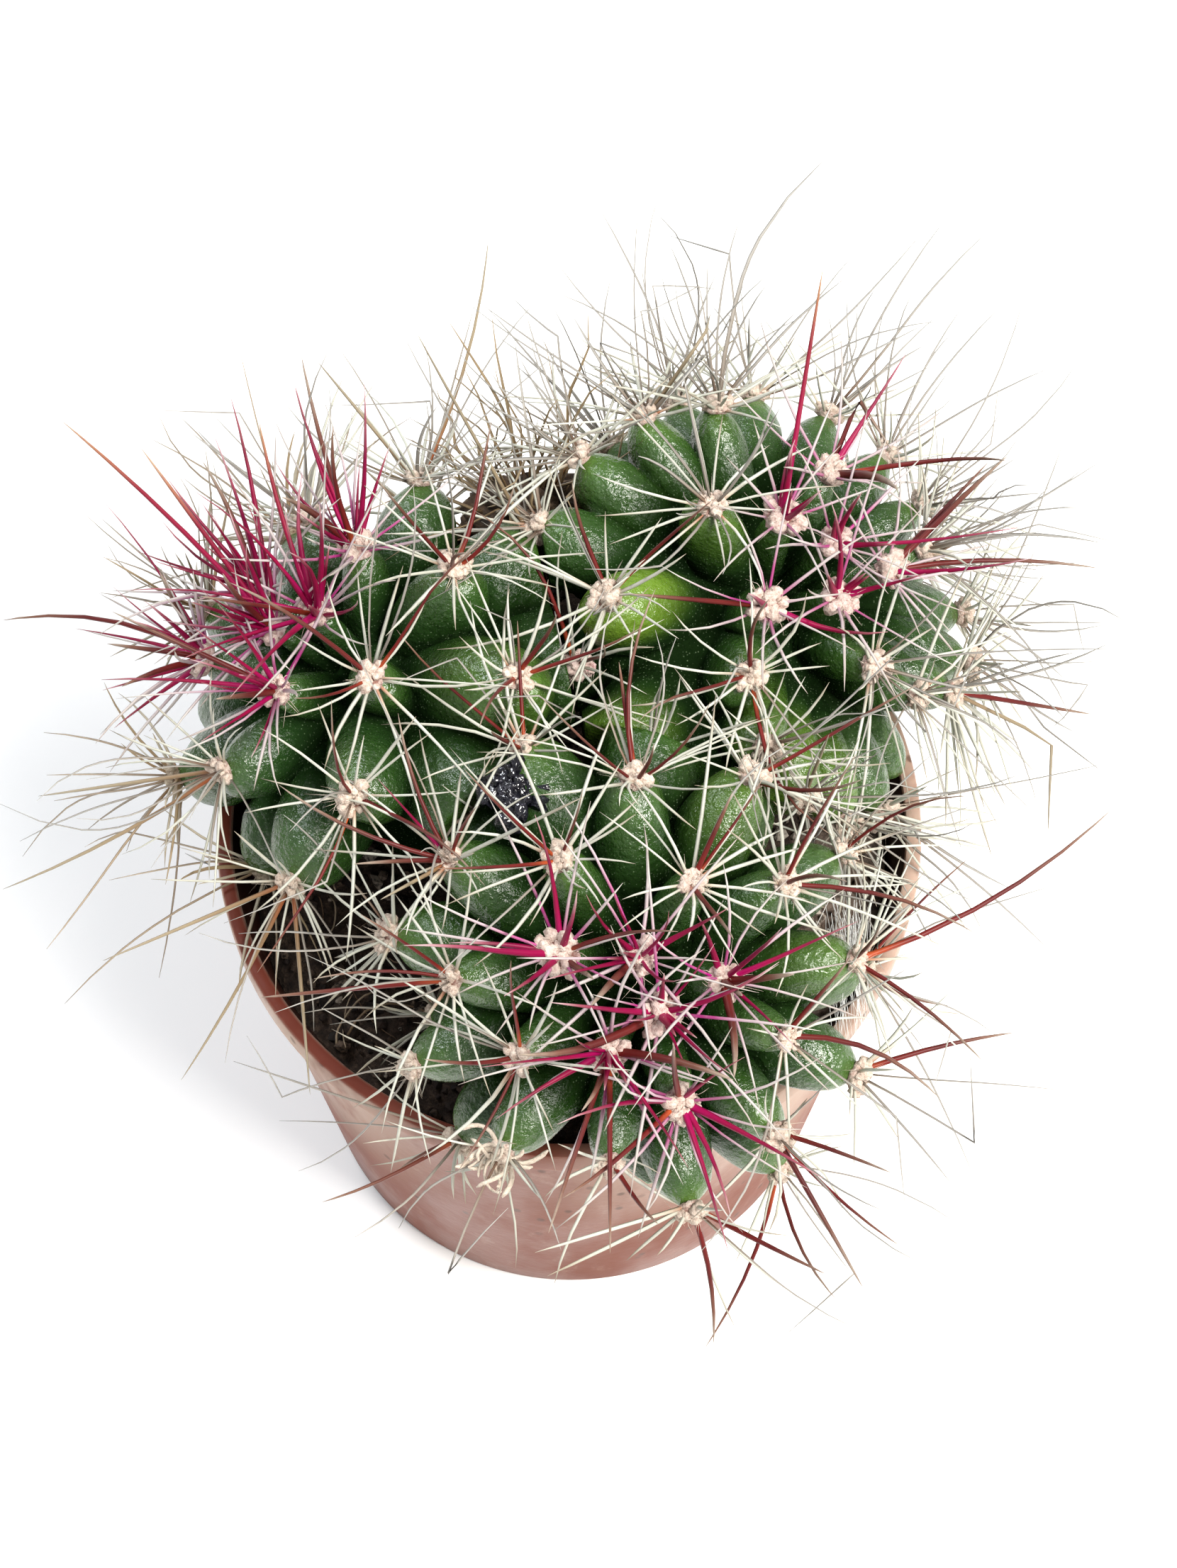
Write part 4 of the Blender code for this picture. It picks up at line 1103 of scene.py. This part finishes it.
FINISHES = {
    "radials": spine_material("white_spines", (0.0, (0.36, 0.17, 0.10)), (0.10, (0.47, 0.41, 0.32)),
                              (0.30, (0.55, 0.56, 0.49)), (0.80, (0.49, 0.48, 0.41)),
                              (1.0, (0.26, 0.20, 0.14)), fleck=(0.32, 0.31, 0.25)),
    "centrals": spine_material("maroon_spines", (0.0, (0.36, 0.060, 0.016)), (0.14, (0.14, 0.010, 0.008)),
                               (0.52, (0.085, 0.011, 0.011)), (0.76, (0.15, 0.072, 0.048)),
                               (1.0, (0.36, 0.31, 0.24)), fleck=(0.075, 0.014, 0.012)),
    "crimsons": spine_material("crimson_spines", (0.0, (0.32, 0.003, 0.085)), (0.28, (0.22, 0.002, 0.034)),
                               (0.60, (0.12, 0.003, 0.018)), (0.82, (0.25, 0.090, 0.10)),
                               (1.0, (0.50, 0.42, 0.40)), fleck=(0.24, 0.002, 0.060)),
    "flames": spine_material("flame_spines", (0.0, (0.32, 0.003, 0.085)), (0.30, (0.22, 0.003, 0.032)),
                             (0.62, (0.17, 0.014, 0.022)), (0.82, (0.30, 0.150, 0.075)),
                             (1.0, (0.48, 0.40, 0.26)), fleck=(0.20, 0.004, 0.035)),
    "blushes": spine_material("blush_spines", (0.0, (0.34, 0.008, 0.16)), (0.22, (0.33, 0.040, 0.17)),
                              (0.40, (0.42, 0.30, 0.34)), (0.75, (0.48, 0.46, 0.42)),
                              (1.0, (0.34, 0.29, 0.24)), fleck=(0.36, 0.30, 0.30)),
    "goldens": spine_material("golden_spines", (0.0, (0.24, 0.060, 0.018)), (0.12, (0.20, 0.11, 0.052)),
                              (0.45, (0.26, 0.205, 0.130)), (1.0, (0.27, 0.245, 0.19)),
                              fleck=(0.19, 0.145, 0.090)),
    "wisps": spine_material("grey_wisps", (0.0, (0.18, 0.11, 0.075)), (0.15, (0.24, 0.20, 0.16)),
                            (0.50, (0.32, 0.30, 0.27)), (1.0, (0.37, 0.36, 0.33)),
                            fleck=(0.17, 0.15, 0.13)),
}


def place_spine(bunch, kind, head, areole, way, length, radius, tint, bow=0.0, arch=0.0, curl=0.0,
                kink=0.0):
    """Grow one spine if it finds room, and add it to its bunch."""
    _, root, normal, _, _ = areole
    path = grown_spine(head, root, normal, way / np.linalg.norm(way), length, bow, arch, curl, kink)
    if path is None:
        return
    points = points_of(PATTERNS[kind].data)
    bunch.setdefault(kind, []).append(copy_shaped(
        PATTERNS[kind], tube_along(points, path, radius), along=points[:, 2], tint=tint,
        dryness=dryness(head, root)))


def leaders_of(bunch, head, areole):
    """The long spines named for this areole."""
    place, _, normal, fall, cross = areole
    draw = np.random.default_rng((head.seed, place, 2))
    for leader in head.leaders:
        if leader.place == place:
            way = direction(leader.turn, leader.lift, normal, fall, cross)
            radius = 0.00021 if leader.kind in ("goldens", "radials") else 0.00027
            place_spine(bunch, leader.kind, head, areole, way, leader.length, radius, draw.uniform(),
                        bow=leader.bow, curl=leader.curl, kink=leader.kink)


def young_spines(bunch, head, areole, first):
    """Thick crimson and maroon spines and blushing thin ones on a new areole."""
    place, _, normal, fall, cross = areole
    draw = np.random.default_rng((head.seed, place, 3))
    sweep = np.array(head.sweep)
    for index in range(head.crowd):
        turn = first + 360 * index / head.crowd + draw.normal(0, 15)
        way = direction(turn, draw.uniform(*YOUNG_LIFT), normal, fall, cross) + sweep * draw.uniform(-0.3, 1.6)
        length = draw.uniform(*YOUNG_LENGTH) * (1 + 0.5 * np.linalg.norm(sweep))
        kind = "centrals" if draw.uniform() < 0.22 else "crimsons"
        place_spine(bunch, kind, head, areole, way, length, draw.uniform(0.00021, 0.00046), draw.uniform(),
                    bow=draw.uniform(-0.05, 0.05), arch=draw.normal(0, 0.03), curl=draw.normal(0, 0.14))
    for index in range(3 if place < 3 else 0):
        way = direction(draw.uniform(0, 360), draw.uniform(50, 85), normal, fall, cross)
        place_spine(bunch, "crimsons", head, areole, way, draw.uniform(0.0050, 0.0085),
                    draw.uniform(0.00038, 0.00060), draw.uniform(0.0, 0.3))
    for index in range(head.crowd // 2 + 8):
        turn = first + 360 * index / (head.crowd // 2 + 8) + draw.normal(0, 9)
        way = direction(turn, draw.uniform(6, 44), normal, fall, cross) + 0.4 * sweep
        place_spine(bunch, "blushes", head, areole, way, draw.uniform(0.0085, 0.0175),
                    draw.uniform(0.00013, 0.00021), draw.uniform(), bow=draw.normal(0, 0.03),
                    arch=draw.normal(0.02, 0.03), curl=draw.normal(0, 0.10))


def grown_up_spines(bunch, head, areole, first):
    """The star of radials round an older areole, its centrals, and grey wisps on the far side."""
    place, root, normal, fall, cross = areole
    draw = np.random.default_rng((head.seed, place, 4))
    old = dryness(head, root) > 0.35
    outer = normal[2] < 0.62
    far = root[1] > (0.012 if root[0] > 0.030 else -0.010 if outer else 0.016)
    pale = far or root[0] > 0.030
    drooping = outer and root[1] < -0.030
    count = int(draw.integers(5, 9) if drooping else draw.integers(10, 14) if outer else
                draw.integers(12, 16))
    for index in range(count):
        turn = first + 360 * index / count + draw.normal(0, 9)
        way = direction(turn, draw.uniform(8, 45) if outer else draw.uniform(4, 30), normal, fall, cross)
        length = draw.uniform(0.0080, 0.0155) * (1 + 0.15 * math.cos(math.radians(turn)))
        length *= 0.8 if drooping else 1.0
        place_spine(bunch, "goldens" if old and index % 3 == 0 else "radials", head, areole, way, length,
                    draw.uniform(0.00013, 0.00021), draw.uniform(), bow=draw.normal(0, 0.035),
                    arch=draw.normal(0.02, 0.03), curl=draw.normal(0, 0.32 if drooping else 0.12))
    for index in range(int(draw.integers(0, 3) if outer else draw.integers(2, 5))):
        turn = first + 97 * index + draw.normal(0, 20)
        way = direction(turn, draw.uniform(*CENTRAL_LIFT), normal, fall, cross)
        place_spine(bunch, "goldens" if old else "wisps" if pale else "centrals", head, areole, way,
                    draw.uniform(*CENTRAL_LENGTH), draw.uniform(0.00016, 0.00024), draw.uniform(),
                    bow=draw.normal(0, 0.04), arch=draw.normal(0, 0.03), curl=draw.normal(0, 0.22))
    for index in range(int(draw.integers(7, 11)) if far else 3 if outer else 2):
        way = direction(draw.uniform(0, 360), draw.uniform(15, 85), normal, fall, cross)
        kink = draw.choice([-1, 1]) * draw.uniform(0.5, 2.2) if draw.uniform() < 0.20 else 0
        place_spine(bunch, "wisps", head, areole, way, draw.uniform(0.0110, 0.0250),
                    draw.uniform(0.00011, 0.00017), draw.uniform(), bow=draw.normal(0, 0.05),
                    arch=draw.normal(0, 0.04), curl=draw.normal(0, 0.35), kink=kink)


for head in HEADS:
    bunch = {}
    for areole in areole_frames(head):
        first = np.random.default_rng((head.seed, areole[0])).uniform(0, 360)
        leaders_of(bunch, head, areole)
        if areole[0] < YOUNG_AREOLES:
            young_spines(bunch, head, areole, first)
        else:
            grown_up_spines(bunch, head, areole, first)
    if head is HEADS[1]:
        grown_up_spines(bunch, head, stray_areole(), 0)
    for kind, spines in bunch.items():
        whole = join(spines, f"{kind}_{head.name}", FINISHES[kind])
        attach(whole, "root")

# Debris
# What has gathered on an old plant: a black glittering crust in the hollow between the heads, a
# withered brown offset behind them, a curled tuft of old wool at the front, and cobweb on the right.
CRUST_PLACE = (-0.0052, -0.0080, 0.0872)
CRUST_LUMPS = 64
CRUST_SPREAD = (0.0020, 0.0021, 0.0012)
WITHERED_PLACE = (-0.0035, 0.0290, 0.0695)
WITHERED_SIZE = (0.0078, 0.0052, 0.0074)
WITHERED_STRANDS = 90
CURL_AREOLE = 15
CURL_COUNT = 24
CURL_LENGTH = (0.0018, 0.0044)
CURL_RADIUS = 0.00022
CURL_TURNS = 3.6
WEB_THREADS = 60
WEB_RADIUS = 0.000035

debris_draw = np.random.default_rng(77)
crust_finish = bpy.data.materials.new("black_crust")
crust_tree, crust_shader = shader_of(crust_finish)
crust_grain_and_glints = noise_at(crust_tree, 1800, 3, 0.6)
# Painted glints: the palest bluish flecks of the crust's colour stand in for glitter.
crust_tree.links.new(colour_ramp(crust_tree, crust_grain_and_glints, (0.35, (0.004, 0.004, 0.006)),
                                 (0.62, (0.012, 0.012, 0.018)), (0.80, (0.12, 0.12, 0.15))),
                     crust_shader.inputs["Base Color"])
crust_shader.inputs["Roughness"].default_value = 0.09
crust_shader.inputs["Specular IOR Level"].default_value = 0.8
bump(crust_tree, crust_shader, noise_at(crust_tree, 1300, 2), 0.0003)
bpy.ops.mesh.primitive_ico_sphere_add(subdivisions=2, radius=1, location=(0, 0, 0))
lump = bpy.context.object
crust = []
for index in range(CRUST_LUMPS):
    shape = fluffy(lump, 1.8, 0.7, index * 7) * debris_draw.uniform(0.5, 1.3, 3)
    place = np.array(CRUST_PLACE) + debris_draw.normal(0, 0.55, 3) * CRUST_SPREAD
    crust.append(copy_shaped(lump, shape * debris_draw.uniform(0.0005, 0.0014) + place))
bpy.data.objects.remove(lump)
crust = join(crust, "black_crust", crust_finish)

withered_finish = bpy.data.materials.new("withered")
withered_tree, withered_shader = shader_of(withered_finish)
withered_tree.links.new(colour_ramp(withered_tree, noise_at(withered_tree, 700, 4, 0.65),
                                    (0.35, (0.020, 0.012, 0.008)), (0.55, (0.085, 0.050, 0.028)),
                                    (0.72, (0.19, 0.125, 0.070))), withered_shader.inputs["Base Color"])
withered_shader.inputs["Roughness"].default_value = 0.8
bump(withered_tree, withered_shader, noise_at(withered_tree, 1500, 4), 0.0004)
bpy.ops.mesh.primitive_ico_sphere_add(subdivisions=5, radius=1, location=(0, 0, 0))
withered = bpy.context.object
withered.name = "withered_offset"
shape = fluffy(withered, 2.4, 0.30, 3.0)
ribs = 1 - 0.12 * np.abs(np.sin(5 * np.arctan2(shape[:, 1], shape[:, 0]) + 3 * shape[:, 2]))
withered.data.vertices.foreach_set(
    "co", (shape * ribs[:, None] * WITHERED_SIZE + np.array(WITHERED_PLACE)).ravel())
withered.data.materials.append(withered_finish)
activate(withered)
bpy.ops.object.shade_smooth()
bpy.ops.object.select_all(action='DESELECT')


def drawn_strands(pattern, starts, ways, length, radius, curl, **paints):
    """Curled strands from given starts along given ways."""
    points = points_of(pattern.data)
    grown = []
    for start, way in zip(starts, ways):
        way = way / np.linalg.norm(way)
        reach = debris_draw.uniform(*length)
        bend = debris_draw.normal(0, curl, 3)
        wave = debris_draw.normal(0, 0.12 * curl, 3)

        def path(share):
            share = share[:, None]
            return start + reach * (share * way + share ** 2 * bend + np.sin(9 * share) * wave)

        grown.append(copy_shaped(pattern, tube_along(points, path, radius * debris_draw.uniform(0.6, 1.4)),
                                 along=points[:, 2], tint=debris_draw.uniform(), **paints))
    return grown


ways = debris_draw.normal(size=(WITHERED_STRANDS, 3)) + [0, 0.2, 0.9]
starts = np.array(WITHERED_PLACE) + 0.8 * np.array(WITHERED_SIZE) * (
    ways / np.linalg.norm(ways, axis=1)[:, None])
strands = drawn_strands(PATTERNS["wisps"], starts, ways, (0.004, 0.015), 0.00018, 0.3, dryness=1.0)
withered_strands = join(strands, "withered_spines", FINISHES["goldens"])

place, root, normal, fall, cross = next(areole for areole in areole_frames(HEADS[2])
                                        if areole[0] == CURL_AREOLE)
curl_pattern = draw_out("curl_pattern", 4, [(1.0, 0.0), *[(1.0, share) for share in np.linspace(0.1, 0.9, 11)],
                                            (0.4, 1.0)])
curl_points = points_of(curl_pattern.data)
curls = []
for _ in range(CURL_COUNT):
    way = direction(debris_draw.uniform(0, 360), debris_draw.uniform(5, 75), normal, fall, cross)
    u = np.cross(way, debris_draw.normal(size=3))
    u /= np.linalg.norm(u)
    v = np.cross(way, u)
    reach = debris_draw.uniform(*CURL_LENGTH)
    turns = CURL_TURNS * debris_draw.uniform(0.5, 1.2)
    start = root + 0.0009 * way

    def curled_path(share):
        share = share[:, None]
        loop = (np.cos(turns * share) - 1) * u + np.sin(turns * share) * v
        return start + reach * (0.55 * share * way + 0.26 * loop * (0.4 + share))

    curls.append(copy_shaped(curl_pattern, tube_along(curl_points, curled_path,
                                                      CURL_RADIUS * debris_draw.uniform(0.6, 1.3)),
                             newness=0.0, heart=0.0, hair=1.0, dryness=0.0))
bpy.data.objects.remove(curl_pattern)
curled_tuft = join(curls, "curled_tuft", wool)

starts = np.column_stack([debris_draw.uniform(0.0245, 0.0290, WEB_THREADS),
                          debris_draw.uniform(-0.0150, -0.0110, WEB_THREADS),
                          debris_draw.uniform(0.0680, 0.0740, WEB_THREADS)])
ends = np.column_stack([debris_draw.uniform(0.0250, 0.0305, WEB_THREADS),
                        debris_draw.uniform(-0.0290, -0.0200, WEB_THREADS),
                        debris_draw.uniform(0.0640, 0.0690, WEB_THREADS)])
web = []
for start, end in zip(starts, ends):
    sag = debris_draw.normal(0, 0.06, 3)

    def thread_path(share):
        share = share[:, None]
        return start + share * (end - start) + 0.012 * share * (1 - share) * sag * 4

    web.append(copy_shaped(hair_pattern, tube_along(hair_points, thread_path, WEB_RADIUS)))
web_finish = bpy.data.materials.new("cobweb")
web_tree, web_shader = shader_of(web_finish)
web_shader.inputs["Base Color"].default_value = (0.80, 0.80, 0.78, 1)
web_shader.inputs["Roughness"].default_value = 0.5
cobweb = join(web, "cobweb", web_finish)
for piece in (crust, withered, withered_strands, curled_tuft, cobweb):
    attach(piece, "root")
for pattern in (*pad_patterns, *PATTERNS.values(), hair_pattern):
    bpy.data.objects.remove(pattern)

# Floor and light
# A plain pale floor under a large soft key light from the right, with a weak fill from the left.
FLOOR_SIZE = 6.0
FLOOR_COLOUR = (0.92, 0.92, 0.915)
bpy.ops.mesh.primitive_plane_add(size=FLOOR_SIZE, location=(0, 0, pot_low.z))
floor = bpy.context.object
floor.name = "floor"
floor_finish = bpy.data.materials.new("floor")
floor_tree, floor_shader = shader_of(floor_finish)
floor_shader.inputs["Base Color"].default_value = (*FLOOR_COLOUR, 1)
floor_shader.inputs["Roughness"].default_value = 0.8
floor.data.materials.append(floor_finish)


def soft_light(name, place, size, watts, colour):
    """A square area light aimed at the plant."""
    bpy.ops.object.light_add(type='AREA', location=place)
    light = bpy.context.object
    light.name = name
    light.data.size = size
    light.data.energy = watts
    light.data.color = colour
    light.rotation_euler = (Vector(place) - Vector((0, 0, POT_HEIGHT))).to_track_quat('Z', 'Y').to_euler()
    return light


soft_light("key", (0.46, -0.24, 0.84), 0.46, 19, (1.0, 0.97, 0.92))
soft_light("back", (-0.42, 0.42, 0.75), 0.30, 6, (0.92, 0.96, 1.0))
soft_light("front", (-0.30, -0.70, 0.55), 0.60, 0.8, (1.0, 1.0, 1.0))
world = bpy.data.worlds.new("studio")
bpy.context.scene.world = world
world.use_nodes = True
world.node_tree.nodes["Background"].inputs["Color"].default_value = (0.90, 0.93, 0.96, 1)
world.node_tree.nodes["Background"].inputs["Strength"].default_value = 0.42
